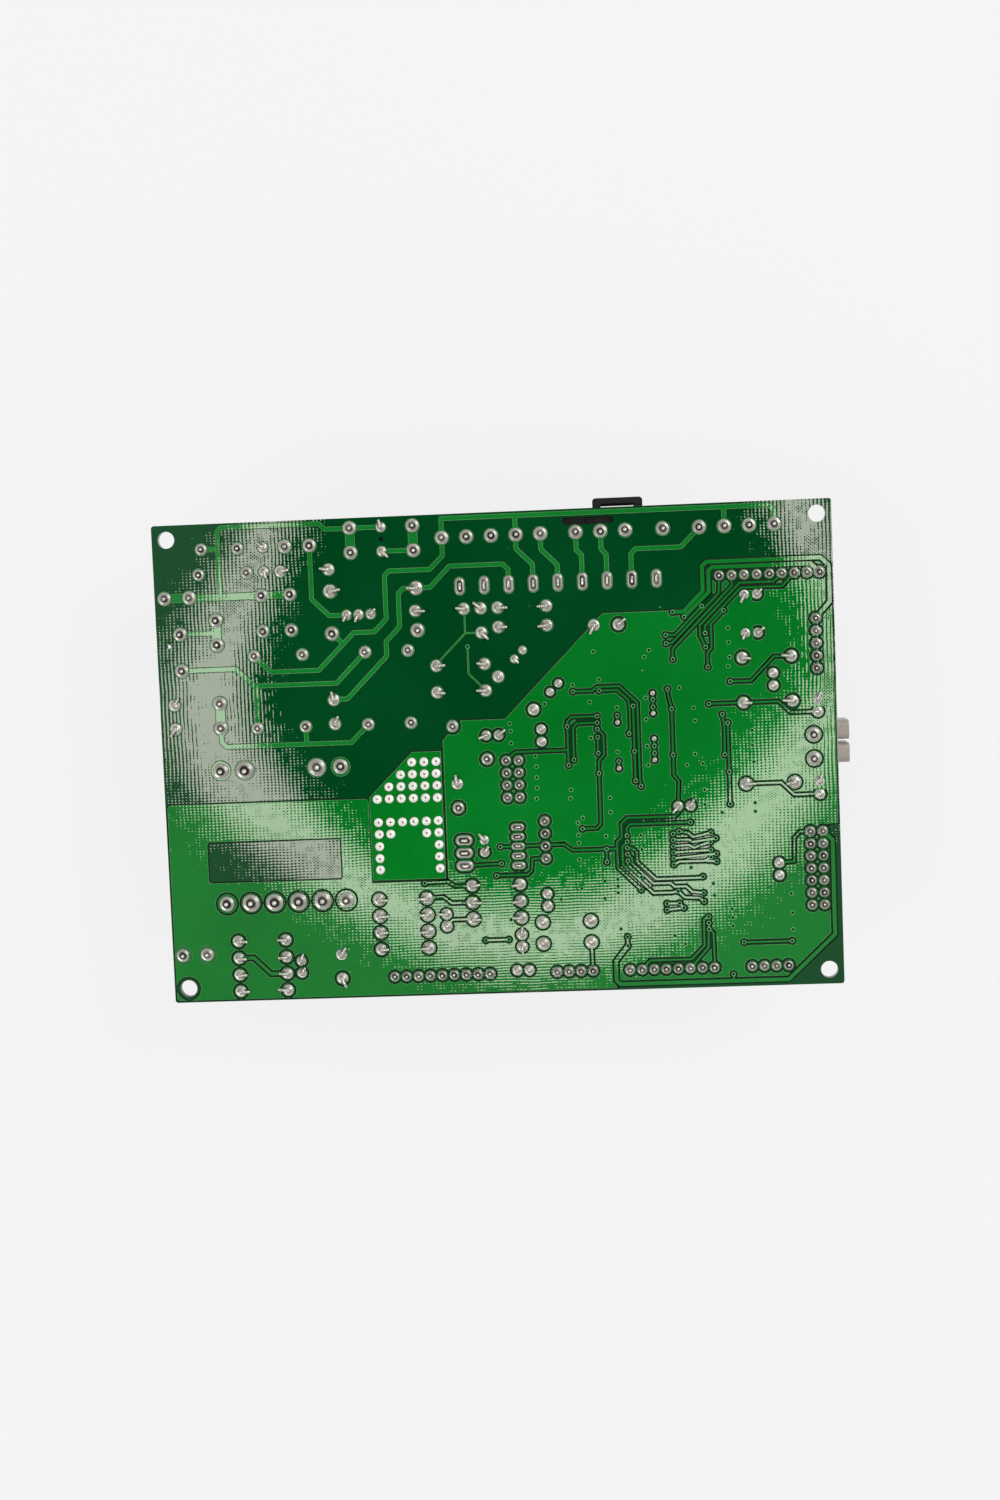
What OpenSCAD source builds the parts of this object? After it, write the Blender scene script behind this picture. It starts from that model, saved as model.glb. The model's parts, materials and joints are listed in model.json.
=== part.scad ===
// Boiler control board, lying component side down with its soldered side up.
// Origin: middle of the four fixing holes, halfway through the laminate.
// +X right, +Y up the board, +Z out of the solder side.

/* [Board] */
// Board length along X
board_w = 140; // [126:1:154]
// Board length along Y
board_h = 100; // [90:1:110]
// Laminate thickness
board_t = 1.6; // [1:0.1:2.4]
// Corner rounding of the laminate
board_r = 0.6; // [0.3:0.1:2]
// Copper layer thickness
copper_t = 0.1; // [0.05:0.01:0.2]
// Height of the tallest parts below the laminate
comp_h = 33.5; // [31:0.5:40]

/* [Fixing] */
// Fixing hole diameter
hole_d = 3.5; // [3:0.1:4.2]
// Fixing hole centre to each board edge
hole_inset = 3; // [2.8:0.1:5]
// Bare laminate ring left round each fixing hole
hole_clear = 0.8; // [0.5:0.1:1.5]
// Length of the routed slot by the top edge
slot_l = 10.5; // [9:0.5:11]
// Width of the routed slot
slot_w = 1.5; // [1.2:0.1:1.8]

/* [Copper] */
// Copper set back from the board edge
edge_gap = 0.4; // [0.3:0.1:1]
// Clear laminate beside a track or pad
copper_gap = 0.4; // [0.25:0.05:0.5]
// Width of a mains track
track_w = 1.0; // [0.8:0.1:1.2]
// Width of a signal track
thin_w = 0.4; // [0.3:0.05:0.5]
// Outside diameter of a via land
via_d = 0.95; // [0.8:0.05:1.1]
// Via hole diameter
via_hole_d = 0.4; // [0.3:0.05:0.5]
// Copper left outside a solder joint
land_margin = 0.15; // [0.05:0.05:0.25]

/* [Solder] */
// Diameter of the joints on mains parts
joint_big = 2.9; // [2.6:0.1:3.2]
// Diameter of the joints on resistors and film capacitors
joint_mid = 2.5; // [2.2:0.1:2.6]
// Diameter of the joints on small parts and headers
joint_small = 2.1; // [1.8:0.1:2.2]
// Diameter of the large transformer joints
joint_xl = 3.9; // [3.5:0.1:4.2]
// Height of a joint to its radius
joint_rise = 0.75; // [0.6:0.05:0.9]
// Diameter of a heat-spreading solder dot
dot_d = 1.95; // [1.7:0.05:2.1]
// Pitch of the heat-spreading dots
dot_pitch = 2.5; // [2.4:0.05:2.6]

/* [Leads] */
// Lead diameter of resistors, capacitors and diodes
lead_d = 0.7; // [0.5:0.05:0.8]
// Pin diameter of connectors and mains parts
pin_d = 1.0; // [0.8:0.05:1.2]
// Clearance of a drilled hole round its lead
drill_clear = 0.15; // [0.1:0.05:0.2]

/* [Pitches] */
// Pitch of the mains connectors
pitch_big = 5.08; // [5:0.02:5.1]
// Pitch of the headers along the right
pitch_mid = 2.55; // [2.5:0.01:2.56]
// Pitch of the headers along the bottom
pitch_low = 2.5; // [2.48:0.01:2.54]

/* [Transformer] */
// Lamination length along Y
core_l = 42; // [40:0.5:42.5]
// Stack thickness along X
core_s = 17; // [15:0.5:19]
// Width of the bobbin foot along X
foot_w = 36; // [34:0.5:36.5]
// Bobbin foot thickness
foot_t = 4; // [3:0.5:5]
// Bobbin foot past each of its two pin rows
foot_edge = 5; // [4:0.5:6]
// Air between the transformer and the film capacitors
film_gap = 0.1; // [0.1:0.05:1]
// Air between the bobbin foot and the regulator's tab
tab_gap = 1.3; // [0.8:0.1:2]

/* [Parts] */
// Height of the mains connector blocks
conn_h = 11; // [9:0.5:13]
// Depth of the mains connector blocks along Y
conn_depth = 9.3; // [8:0.1:11]
// Contact row of the mains connectors to the board's top edge
conn_inset = 4.8; // [4.2:0.1:6]
// Blocks set back from the board edge they face
edge_setback = 0.4; // [0.2:0.1:1]
// Depth of the terminal block along X
terminal_depth = 10; // [9:0.1:12]
// Contact row of the terminal block to the board's right edge
terminal_inset = 4.9; // [4.2:0.1:6]
// Middle of the routed slot to the board's top edge
slot_inset = 2.5; // [2:0.1:3.5]
// Height of the film capacitors
film_h = 13; // [10:0.5:16]
// Width of the film capacitors
film_w = 7; // [6:0.5:8]
// Film capacitor body past its leads
film_edge = 1.5; // [1:0.1:2]
// Reach of the terminal block past the right edge
snout_out = 3.6; // [2:0.2:5]
// Reach of the black latch frame past the top edge
latch_out = 2.0; // [1.4:0.1:3]

/* [Hidden] */
$fn = 24;
z_sol = comp_h + board_t;
z_cu = z_sol + copper_t;
film_xs = [20.25, 30.35, 43.4, 52.3];
film_top = 72.3;
conn_y = board_h - conn_inset;
conn_back = board_h - edge_setback - conn_depth;
rim_y = board_h - 0.9;
slot_y = board_h - slot_inset;
terminal_x = board_w - terminal_inset;
terminal_start = board_w - edge_setback - terminal_depth;
transformer_at = [24.6, 34.7];
row_low = 20.7;
row_high = 48.7;
film_low = max(transformer_at[1] + core_l / 2, row_high + foot_edge) + film_gap;
tab_start = transformer_at[0] + foot_w / 2 + tab_gap;
tab_end = 50.5;
small_r = joint_small / 2;
mid_r = joint_mid / 2;
big_r = joint_big / 2;
xl_r = joint_xl / 2;

function row(x, y, dx, dy, n) = [for (i = [0:n - 1]) [x + i * dx, y + i * dy]];

// Drill and joint positions, from the board's lower left corner.
tab_pins = [
    [2.1, 84.9], [7.25, 84.9], [2.1, 10.1], [7.25, 10.1],
    [41.3, 97.9], [41.3, 92.9], [54.3, 97.9], [54.3, 92.9]
];
clip_pins = [[12.6, 80], [12.6, 74.9], [12.6, 62.7], [12.6, 57.6]];
varistor_pins = [[5, 77.4], [5, 69.8]];
choke_pins = [[22.35, 84.8], [28.3, 84.8], [22.35, 77.4], [28.3, 77.4]];
power_axials = [[36.7, 85.1], [36.7, 76.4]];
top5_pins = row(60.25, conn_y, pitch_big, 0, 5);
top3_pins = row(87.8, conn_y, pitch_big, 0, 3);
top1_pins = [[105.6, conn_y]];
top4_pins = row(113.05, conn_y, pitch_big, 0, 4);
terminal_pins = [[terminal_x, 51.9], [terminal_x, 46.9]];
module_pins = row(63.55, 85.1, 5.06, 0, 9);
film_pins = [for (x = film_xs) each [[x, film_top], [x, film_low + film_edge]]];
axials_10 = [
    [54.2, 80.4], [71.2, 80.4], [71.2, 76.4], [58.05, 68.9], [58.05, 63.4],
    [121, 68.2], [121, 58.95], [121, 42.2], [26.55, 89.6],
    [14, 12.7], [14, 9.1], [14, 5.6], [14, 2.1],
    [44.05, 20.55], [44.05, 17.05], [44.05, 13.55], [44.05, 10.05],
    [63.6, 22.85], [63.6, 19.35], [63.6, 15.85], [78, 14.7], [78, 10.2]
];
discs_5 = [[3.05, 57.7, 90], [36.45, 57.65, 90], [67.7, 75.4, 90], [90.9, 76, 0], [61.4, 39.25, 90],
    [35.6, 4.2, 90]];
slant_pins = [[70.75, 66.2], [74.25, 69.7], [76.0, 71.45], [77.8, 59.1], [81.35, 62.6], [83.1, 64.35]];
pairs_up = [[79.2, 52.4], [79.2, 18.1], [58, 14.5], [66.5, 29.8], [73.55, 9.7], [27.1, 5.6],
    [127.25, 62.25], [127.3, 23], [136.1, 56.6], [136.1, 39.6]];
pairs_side = [[67.8, 54.1], [72.3, 4.75], [106.9, 38.05], [121.8, 81.1], [121.8, 73.2]];
post_pins = [[10.25, 94.75], [9.45, 89.6], [17.8, 94.7], [19.5, 89.6], [60.9, 56.25], [67.8, 49.2]];
coil_pins = [[27.7, 94.7], [32.8, 94.7]];
trim_pins = [[23.1, 94.7], [23.1, 89.7]];
spark_pins = [[47.75, 97.9], [47.75, 92.9]];
to92_pins = row(39.9, 80.1, 2.5, 0, 3);
regulator_pins = row(62.3, 32.4, 0, -2.65, 3);
switcher_pins = row(73.5, 34.8, 0, -2, 5);
head9_pins = row(116.8, 85.15, pitch_mid, 0, 9);
head5_pins = row(136.15, 75.7, 0, -pitch_mid, 5);
head14_pins = concat(row(133.85, 31.9, 0, -pitch_mid, 7), row(136.4, 31.9, 0, -pitch_mid, 7));
head8_pins = concat(row(71.7, 48.7, 0, -pitch_mid, 4), row(74.25, 48.7, 0, -pitch_mid, 4));
head4_pins = row(79.2, 35.9, 0, -2.6, 4);
low9_pins = row(46.6, 4.2, pitch_low, 0, 9);
low4a_pins = row(80.6, 4.2, pitch_low, 0, 4);
low8_pins = row(95.8, 4.15, pitch_low, 0, 8);
low4b_pins = row(121.1, 4.15, pitch_low, 0, 4);
coil_low_pins = row(12.05, row_low, 5.02, 0, 6);
coil_high_pins = [for (x = [12.1, 17.1, 32.2, 37.2]) [x, row_high]];

axial_ends = [for (p = axials_10) each [p, [p[0] + 10, p[1]]]];
power_ends = [for (p = power_axials) each [p, [p[0] + 17.8, p[1]]]];
disc_ends = [for (p = discs_5) each [[p[0], p[1]], [p[0] + 5 * cos(p[2]), p[1] + 5 * sin(p[2])]]];
pair_ends = concat([for (p = pairs_up) each [p, [p[0], p[1] + pitch_mid]]],
    [for (p = pairs_side) each [p, [p[0] + pitch_mid, p[1]]]]);
mains_pins = concat(tab_pins, clip_pins, varistor_pins, coil_pins, terminal_pins);
block_pins = concat(top5_pins, top3_pins, top1_pins, top4_pins);
side_pins = concat(head9_pins, head5_pins, head14_pins, head8_pins, head4_pins);
low_pins = concat(low9_pins, low4a_pins, low8_pins, low4b_pins);
small_pins = concat(pair_ends, to92_pins, trim_pins, spark_pins);
big_drills = concat(mains_pins, block_pins, choke_pins, coil_low_pins, coil_high_pins, module_pins,
    power_ends);
thin_drills = concat(film_pins, axial_ends, disc_ends, slant_pins, post_pins, small_pins, side_pins,
    low_pins, regulator_pins, switcher_pins);

// Heat-spreading dots: how many stand in each row, counted from the right.
dot_full = [[49.1, 3], [46.6, 4], [44.1, 5], [41.6, 6], [36.75, 6]];
dot_ends = [[34.25, 2], [31.7, 1], [29.25, 1], [26.8, 1]];

// Mains tracks on bare laminate: width, then corner points.
mains_runs = [
    [track_w, [[13.75, 84.8], [13.75, 98.4], [14.5, 99.1], [35, 99.1], [36.1, 97.9], [47.75, 97.9]]],
    [track_w, [[10.25, 94.8], [13.75, 94.8]]],
    [1.5, [[7.25, 84.8], [28.3, 84.8]]],
    [track_w, [[32.8, 94.7], [32.8, 83.6], [36.3, 80.1], [39.9, 80.1]]],
    [track_w, [[5, 77.4], [12.6, 77.4]]],
    [track_w, [[5, 69.8], [16.3, 69.8], [20, 66.1], [37.2, 66.1], [43.4, 72.3]]],
    [track_w, [[20.45, 66.1], [20.3, 57.3]]],
    [track_w, [[20.25, 72.3], [23.6, 68.9], [33.6, 68.9], [41.2, 76.4], [45.5, 76.4], [48.1, 79],
        [48.1, 87.9], [49, 88.8], [57.5, 88.8], [60.25, 91.5], [60.25, rim_y],
        [127.3, rim_y], [128.3, rim_y - 1], [128.3, conn_y]]],
    [track_w, [[75.45, rim_y], [75.45, 92.3], [78.7, 89], [78.7, 85.1]]],
    [track_w, [[118.15, rim_y], [118.15, conn_y]]],
    [track_w, [[36.7, 76.4], [38.9, 74.2]]],
    [track_w, [[57.4, 85.1], [51.8, 85.1], [50.8, 84.1], [50.8, 77.3], [47.85, 74.3], [47.85, 71.3],
        [39.3, 62.75], [36.45, 62.7]]],
    [track_w, [[57.4, 85.1], [61.6, 89.3], [72.6, 89.3], [73.65, 88.2], [73.65, 85.2]]],
    [track_w, [[80.55, conn_y], [80.55, 92], [83.8, 88.7], [83.8, 85.1]]],
    [track_w, [[87.8, conn_y], [87.8, 91.6], [88.85, 90.4], [88.85, 85.1]]],
    [track_w, [[92.9, conn_y], [92.9, 91.6], [93.9, 90.4], [93.9, 85.1]]],
    [track_w, [[98.95, 85.1], [98.95, 90.3], [99.9, 91.3], [109.2, 91.3], [113.05, conn_y]]],
    [track_w, [[47.75, 92.9], [54.3, 92.9]]],
    [track_w, [[12.6, 57.6], [12.6, 54.6], [13.6, 53.65], [39.7, 53.65], [43.4, 57.3]]],
    [track_w, [[30.35, 57.3], [30.35, 53.65]]],
    [2, [[2.1, 84.9], [7.25, 84.9]]],
    [2, [[41.3, 97.9], [41.3, 92.9]]],
    [2, [[54.3, 97.9], [54.3, 92.9]]],
    [2, [[12.6, 80], [12.6, 74.9]]],
    [2, [[12.6, 62.7], [12.6, 57.6]]],
    [thin_w, [[64.3, 80.3], [64.3, 75.4], [67.75, 75.4]]],
    [thin_w, [[64.3, 75.4], [58.9, 70], [58.05, 68.9]]],
    [thin_w, [[64.65, 72.6], [64.65, 67], [67.4, 64.2], [68.05, 63.4]]]
];

// Signal tracks that run in gaps cut through the ground copper.
wide_w = thin_w * 2;
signal_runs = [
    [thin_w, [[86, 62.5], [90, 62.5], [91, 63.3], [95.6, 63.3], [99.2, 59.7], [99.2, 44], [99.4, 42.45]]],
    [thin_w, [[91.45, 62.5], [95.2, 62.5], [97.3, 60.4], [97.6, 58.5], [97.6, 55], [97.3, 53.4]]],
    [thin_w, [[98.3, 59.1], [98.3, 43.6]]],
    [thin_w, [[90.8, 57.25], [85.5, 57.25], [84.6, 56.4], [84.6, 47.3]]],
    [thin_w, [[84.6, 50.45], [73.7, 50.45], [72.5, 49.4], [71.7, 48.7]]],
    [thin_w, [[90.8, 55.9], [86.6, 55.9], [85.8, 55.1], [85.75, 48.4]]],
    [thin_w, [[90.8, 54.6], [92, 53.3], [92, 49.2], [90.85, 48], [90.8, 34.9], [90, 34], [87, 34]]],
    [thin_w, [[90.8, 52.9], [90.8, 49.6]]],
    [thin_w, [[95, 57.25], [95, 55.8]]],
    [thin_w, [[95, 47.75], [95, 46.3]]],
    [thin_w, [[102.4, 61.6], [102.4, 57.4]]],
    [thin_w, [[102.4, 52.2], [102.4, 47.8]]],
    [thin_w, [[105.5, 62.3], [105.6, 61], [106.2, 58.2], [106.2, 44.5], [107.2, 43.2], [106.9, 38.05]]],
    [thin_w, [[106.9, 38.05], [106.9, 36.6], [106.2, 35.95], [96.2, 35.95], [95, 34.8], [95, 32],
        [94, 31], [94, 25.6], [98.7, 20.9]]],
    [thin_w, [[109.3, 34.6], [96.8, 34.6], [96.1, 33.9], [96.1, 32.25]]],
    [thin_w, [[94, 29.6], [84.8, 29.6], [83, 30.9], [69.8, 30.8]]],
    [thin_w, [[91.8, 29.6], [91.8, 26.9]]],
    [thin_w, [[68.8, 24.8], [75.3, 24.8], [76.1, 25.6], [76.4, 28.1], [79.2, 28.1]]],
    [thin_w, [[62.3, 27.1], [69.9, 27.3]]],
    [thin_w, [[96.1, 31], [95.1, 30], [95.1, 26.2], [101.2, 20.1], [105, 20.1], [106.3, 20.35]]],
    [thin_w, [[96.1, 29.7], [97.2, 29.6], [98, 28.8], [98, 26.8], [101.8, 23], [111.5, 23]]],
    [thin_w, [[96.1, 28.4], [97, 27.5], [97, 26.4], [101.2, 22.1], [104.8, 22.1], [105.6, 21.3],
        [108, 21.3], [109.2, 20.1], [111.5, 19.8]]],
    [thin_w, [[96.1, 27], [96.1, 26.1], [98.8, 23.5]]],
    [thin_w, [[106.3, 20.35], [107.6, 19], [110.6, 18.8], [111.6, 18]]],
    [thin_w, [[103.9, 17.8], [106.4, 17.8], [107.4, 16.8]]],
    [thin_w, [[103.9, 16.5], [107.4, 16.8]]],
    [thin_w, [[105.6, 32.3], [106.9, 32.8], [108.6, 32.5], [109.8, 31.5], [113.4, 32.3]]],
    [thin_w, [[105.6, 31], [108.8, 31], [109.8, 30.5], [114.4, 31.1]]],
    [thin_w, [[105.6, 29.7], [108.8, 29.9], [109.8, 29.3], [113.3, 30.4]]],
    [thin_w, [[105.6, 28.4], [113.3, 28.7]]],
    [thin_w, [[105.6, 27.2], [114.4, 27.9]]],
    [thin_w, [[105.6, 25.9], [106.8, 26.5], [112, 26.5], [113.3, 27.2]]],
    [thin_w, [[112, 26.5], [114.4, 26.3]]],
    [thin_w, [[112.4, 14.75], [111.4, 14.2], [111.4, 8.8], [108.6, 6], [100, 6], [98.3, 4.2]]],
    [thin_w, [[112.4, 13.5], [112.2, 8.4], [108.4, 4.15]]],
    [thin_w, [[112.4, 12.2], [113.3, 11.4], [113.4, 4.2]]],
    [thin_w, [[95.5, 11.1], [95.5, 9.25]]],
    [wide_w, [[95.5, 9.25], [92.9, 6], [92.9, 2], [93.7, 1.2], [128.6, 1.2], [138.35, 10.3],
        [138.35, 30], [136.4, 31.9]]],
    [thin_w, [[117.2, 2.6], [117.2, 1.2]]],
    [thin_w, [[119.55, 9.2], [129.5, 9.2]]],
    [thin_w, [[66, 11.3], [70.8, 11.3]]],
    [thin_w, [[53.7, 23.7], [58.6, 23.9], [60, 22.9], [63.6, 22.9]]],
    [thin_w, [[54.1, 20.55], [57.5, 20.7], [59.2, 19.35], [63.6, 19.35]]],
    [thin_w, [[58, 14.5], [59.2, 15.85], [63.6, 15.85]]],
    [0.7, [[14, 9.1], [17.1, 9.1], [20.6, 5.6], [24, 5.6]]],
    [thin_w, [[88, 10.2], [88.1, 4.2]]],
    [thin_w, [[127.3, 25.55], [130.4, 25.8], [130.5, 30.6], [131.7, 31.9], [133.85, 31.9]]],
    [thin_w, [[118.4, 63.4], [122.7, 63.4], [127.4, 68.2], [131, 68.2]]],
    [thin_w, [[113.9, 58.95], [128.1, 58.95], [130.5, 56.6], [136.1, 56.6]]],
    [thin_w, [[121, 42.2], [128.2, 42.2], [130.8, 39.6], [136.1, 39.6]]],
    [thin_w, [[116.55, 56.7], [116.9, 54], [116.8, 48.4]]],
    [thin_w, [[117.6, 54.9], [117.6, 38.1]]],
    [wide_w, [[107.05, 78.1], [109.3, 78.1], [113.35, 82.1], [113.35, 87.2], [114.2, 88.05],
        [137.5, 88.05], [139.15, 86.4], [139.15, 79], [136.15, 75.7]]],
    [wide_w, [[109.4, 77], [114.6, 81.9], [114.6, 86.2], [115.3, 86.9], [135.4, 86.9], [137.2, 85.15]]],
    [thin_w, [[113.05, 79.05], [107.4, 73.4], [105.5, 73.4]]],
    [thin_w, [[116.8, 85.15], [116.6, 81.6], [106.7, 71.7], [105.5, 71.7]]],
    [thin_w, [[119.3, 85.15], [119.3, 83], [106.8, 70.5], [106.8, 68.4]]],
    [thin_w, [[129.5, 85.15], [127.9, 83.5], [120.9, 83.5], [112.5, 75.1], [112.5, 73], [113.6, 70.6]]],
    [thin_w, [[132.1, 85.15], [129.6, 82.5], [121.1, 82.5], [113.5, 74.9], [113.6, 73.5]]],
    [thin_w, [[117.5, 78], [114.8, 75.3], [114.8, 70.4], [113.9, 69.4], [113.9, 66.55]]]
];

// Vias at the ends of signal tracks.
ring_vias = [
    [86, 62.5], [91.45, 62.5], [97.3, 53.4], [98.3, 59.1], [98.3, 49.7], [98.3, 43.6], [99.4, 42.45],
    [90.8, 57.25], [84.6, 47.3], [84.6, 55.3], [90.8, 55.9], [85.75, 48.4], [90.8, 54.6],
    [90.8, 45.4], [87, 34], [90.8, 52.9], [90.8, 49.6], [95, 57.25], [95, 47.75], [102.4, 60.25],
    [102.4, 58.75], [102.4, 50.7], [102.4, 49.2], [105.5, 62.3], [106.2, 58.2], [106.2, 48.7],
    [109.3, 34.6], [96.1, 32.25], [96.1, 31], [96.1, 29.7], [96.1, 28.4], [96.1, 27], [98.8, 23.5],
    [98.7, 20.9], [106.3, 20.35], [111.5, 23.2], [111.55, 19.8], [111.6, 18], [91.8, 29.6],
    [91.8, 26.9], [69.8, 30.8], [68.8, 24.8], [69.9, 27.3], [103.9, 17.8], [103.9, 16.5],
    [106.5, 17.8], [107.4, 16.8], [105.6, 32.3], [106.9, 32.8], [105.6, 31], [105.6, 29.7],
    [105.6, 28.4], [105.6, 27.2], [105.6, 25.9], [113.4, 32.3], [114.4, 31.1], [113.3, 30.4],
    [113.3, 28.7], [114.4, 27.9], [113.3, 27.2], [114.4, 26.3], [112.4, 14.75], [112.4, 13.5],
    [112.4, 12.2], [95.5, 11.1], [95.5, 9.25], [117.2, 2.6], [119.55, 9.2], [129.5, 9.2],
    [66, 11.3], [70.8, 11.3], [53.7, 23.7], [118.4, 63.4], [113.9, 58.95], [116.55, 56.7],
    [116.8, 48.4], [117.6, 54.9], [117.6, 44.8], [117.6, 38.1], [107.05, 78.1], [109.4, 77],
    [113.05, 79.05], [105.5, 73.4], [105.5, 71.7], [106.8, 68.4], [113.6, 73.5], [113.6, 70.6],
    [117.5, 78], [113.9, 66.55]
];
// Small test lands with solder on them.
test_lands = [[95, 55.8], [95, 46.3], [102.4, 61.6], [102.4, 57.4], [102.4, 52.2], [102.4, 47.8]];
// Vias that stitch the ground copper to the other face.
ground_vias = [
    [90.5, 70.6], [101.95, 70.45], [100.95, 69.1], [118.25, 74.4], [118.3, 71.45], [118.4, 68.4],
    [118.05, 66.55], [72.7, 56.4], [72.9, 54.8], [72.9, 52.3], [80.1, 60.2], [77.8, 49.4],
    [77.9, 47.25], [77.9, 45], [77.9, 42.8], [77.7, 40.6], [86, 63.9], [91.45, 64.8], [89.4, 60.2],
    [94.95, 58.9], [89.4, 52.8], [94.8, 49.7], [84.9, 42.2], [84.7, 40.4], [87.1, 36.25],
    [86.05, 35.3], [86.1, 32.7], [86.1, 31.1], [91.8, 32.3], [92.9, 40.25], [92.9, 37.25],
    [99, 32.25], [100.9, 60.7], [100.9, 56.2], [100.9, 50.7], [101, 46.75], [107.95, 62.5],
    [110.7, 58.25], [110.9, 55.6], [110.7, 48.7], [109, 46.5], [112.2, 46.7], [112.4, 41.25],
    [112.4, 38.2], [115.9, 36.4], [122.55, 53.2], [122.55, 50.1], [122.7, 46.7], [122.7, 38.2],
    [122.7, 36.4], [86.1, 27.6], [86.4, 21.6], [82, 19.4], [91.2, 22.95], [91.1, 19.3],
    [93.9, 23.2], [93.9, 21.8], [93.9, 20.4], [99.1, 29.25], [94.2, 12.8], [105.3, 11.05],
    [107.4, 9.25], [71.4, 15.45], [109.1, 25.2], [113.6, 21.7], [113.75, 19.2], [129.6, 19.1],
    [129.75, 15.1], [129.75, 11.6], [117.3, 16.25], [117.4, 14.45], [117.4, 12.7]
];
// Joints whose land is part of the ground copper.
plain_joints = [[2.1, 10.1], [7.25, 10.1], [90.9, 76], [61.4, 44.25], [136.1, 59.15], [136.1, 42.15],
    [121.8, 81.1], [121.8, 73.2], [35.6, 9.2], [66.55, 32.35]];

// Moves a piece drawn from the board's lower left corner, on the plane it rests on, to the origin.
module place() {
    translate([-board_w / 2, -board_h / 2, -comp_h - board_t / 2]) children();
}

// Stands a part on the component face, its own +Z pointing away from the board.
module under(p, a = 0) {
    translate([p[0], p[1], comp_h]) mirror([0, 0, 1]) rotate([0, 0, a]) children();
}

module at_each(points) {
    for (p = points) translate([p[0], p[1]]) children();
}

module run2(w, pts) {
    for (i = [0:len(pts) - 2]) {
        d = pts[i + 1] - pts[i];
        translate(pts[i]) rotate(atan2(d[1], d[0])) translate([0, -w / 2]) square([norm(d), w]);
    }
    at_each(pts) circle(d = w, $fn = 8);
}

module block(x0, x1, y0, y1, z0, z1) {
    translate([x0, y0, z0]) cube([x1 - x0, y1 - y0, z1 - z0]);
}

module rounded2(w, h, r) {
    square([w - 2 * r, h], center = true);
    square([w, h - 2 * r], center = true);
    for (sx = [-1, 1], sy = [-1, 1]) translate([sx * (w / 2 - r), sy * (h / 2 - r)]) circle(r);
}

module fixing_holes2(d) {
    for (x = [hole_inset, board_w - hole_inset], y = [hole_inset, board_h - hole_inset])
        translate([x, y]) circle(d = d, $fn = 32);
}

module slot2(grow = 0) {
    for (s = [-1, 1]) translate([90.35 + s * (slot_l - slot_w) / 2, slot_y]) circle(d = slot_w + grow);
    translate([90.35, slot_y]) square([slot_l - slot_w, slot_w + grow], center = true);
}

module drills2() {
    at_each(big_drills) circle(d = pin_d + 2 * drill_clear, $fn = 16);
    at_each(thin_drills) circle(d = lead_d + 2 * drill_clear, $fn = 16);
    at_each([[2.45, 74.95], [47.75, 95.4]]) circle(d = 0.9, $fn = 16);
}

module via_holes2() {
    at_each(concat(ring_vias, ground_vias)) circle(d = via_hole_d, $fn = 6);
}

// The bare fibreglass board.
module laminate() {
    color([0.03, 0.26, 0.12]) place() translate([0, 0, comp_h]) linear_extrude(board_t) difference() {
        translate([board_w / 2, board_h / 2]) rounded2(board_w, board_h, board_r);
        fixing_holes2(hole_d);
        slot2();
        drills2();
        via_holes2();
    }
}

// Lands of the joints that stand clear of the ground copper.
module lands2(grow) {
    m = 2 * land_margin + 2 * grow;
    at_each(concat(block_pins, mains_pins, power_ends)) circle(d = joint_big + m, $fn = 12);
    at_each(choke_pins) circle(d = joint_big - 0.2 + m, $fn = 12);
    at_each(concat(coil_low_pins, coil_high_pins)) circle(d = joint_xl + m, $fn = 16);
    at_each(concat(film_pins, axial_ends, disc_ends, post_pins)) circle(d = joint_mid + m, $fn = 12);
    at_each(concat(small_pins, side_pins, low_pins)) circle(d = joint_small + m, $fn = 12);
    at_each([slant_pins[0], slant_pins[3]]) circle(d = joint_mid + m, $fn = 12);
    at_each([slant_pins[1], slant_pins[2], slant_pins[4], slant_pins[5]]) circle(d = 1.7 + m, $fn = 12);
    at_each(module_pins) oval2(2 + m, 3.7 + m);
    at_each(regulator_pins) oval2(3.6 + m, 2.2 + m);
    at_each(switcher_pins) oval2(2.8 + m, 1.5 + m);
}

module oval2(w, h) {
    d = min(w, h);
    for (s = [-1, 1]) translate([s * (w - d) / 2, s * (h - d) / 2]) circle(d = d, $fn = 12);
    square([w > h ? w - d : w, h > w ? h - d : h], center = true);
}

module plain_lands2(grow) {
    at_each(plain_joints) circle(d = joint_big + 2 * grow, $fn = 12);
}

module signal2() {
    for (r = signal_runs) run2(r[0], r[1]);
    at_each(ring_vias) circle(d = via_d, $fn = 8);
    at_each(test_lands) circle(d = 1.1, $fn = 8);
}

// Outline of the ground copper before its gaps are cut.
module ground_outline2() {
    e = edge_gap;
    translate([21.35 + e / 2, 20.9 + e / 2]) rounded2(42.7 - e, 41.8 - e, 0.8);
    polygon([[30, e], [92.9, e], [92.9, 1.2], [128.6, 1.2], [138.35, 10.3], [138.35, 30], [137.4, 33.4],
        [board_w - e, 33.4], [board_w - e, 79], [139.15, 79], [139.15, 86.4], [137.5, 88.05],
        [114.2, 88.05], [113.35, 87.2], [113.35, 82.1], [109.3, 78.4], [92.7, 78.4], [89.8, 75.5],
        [72.2, 57.8], [71.8, 57.4], [62.6, 57.4], [60, 54.8], [58.7, 53.4], [58.7, 24.1], [30, 24.1]]);
}

module heat_outline2() {
    polygon([[42.9, 24.6], [42.9, 42], [52.2, 51.2], [58.2, 51.2], [58.2, 24.6]]);
}

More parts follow.
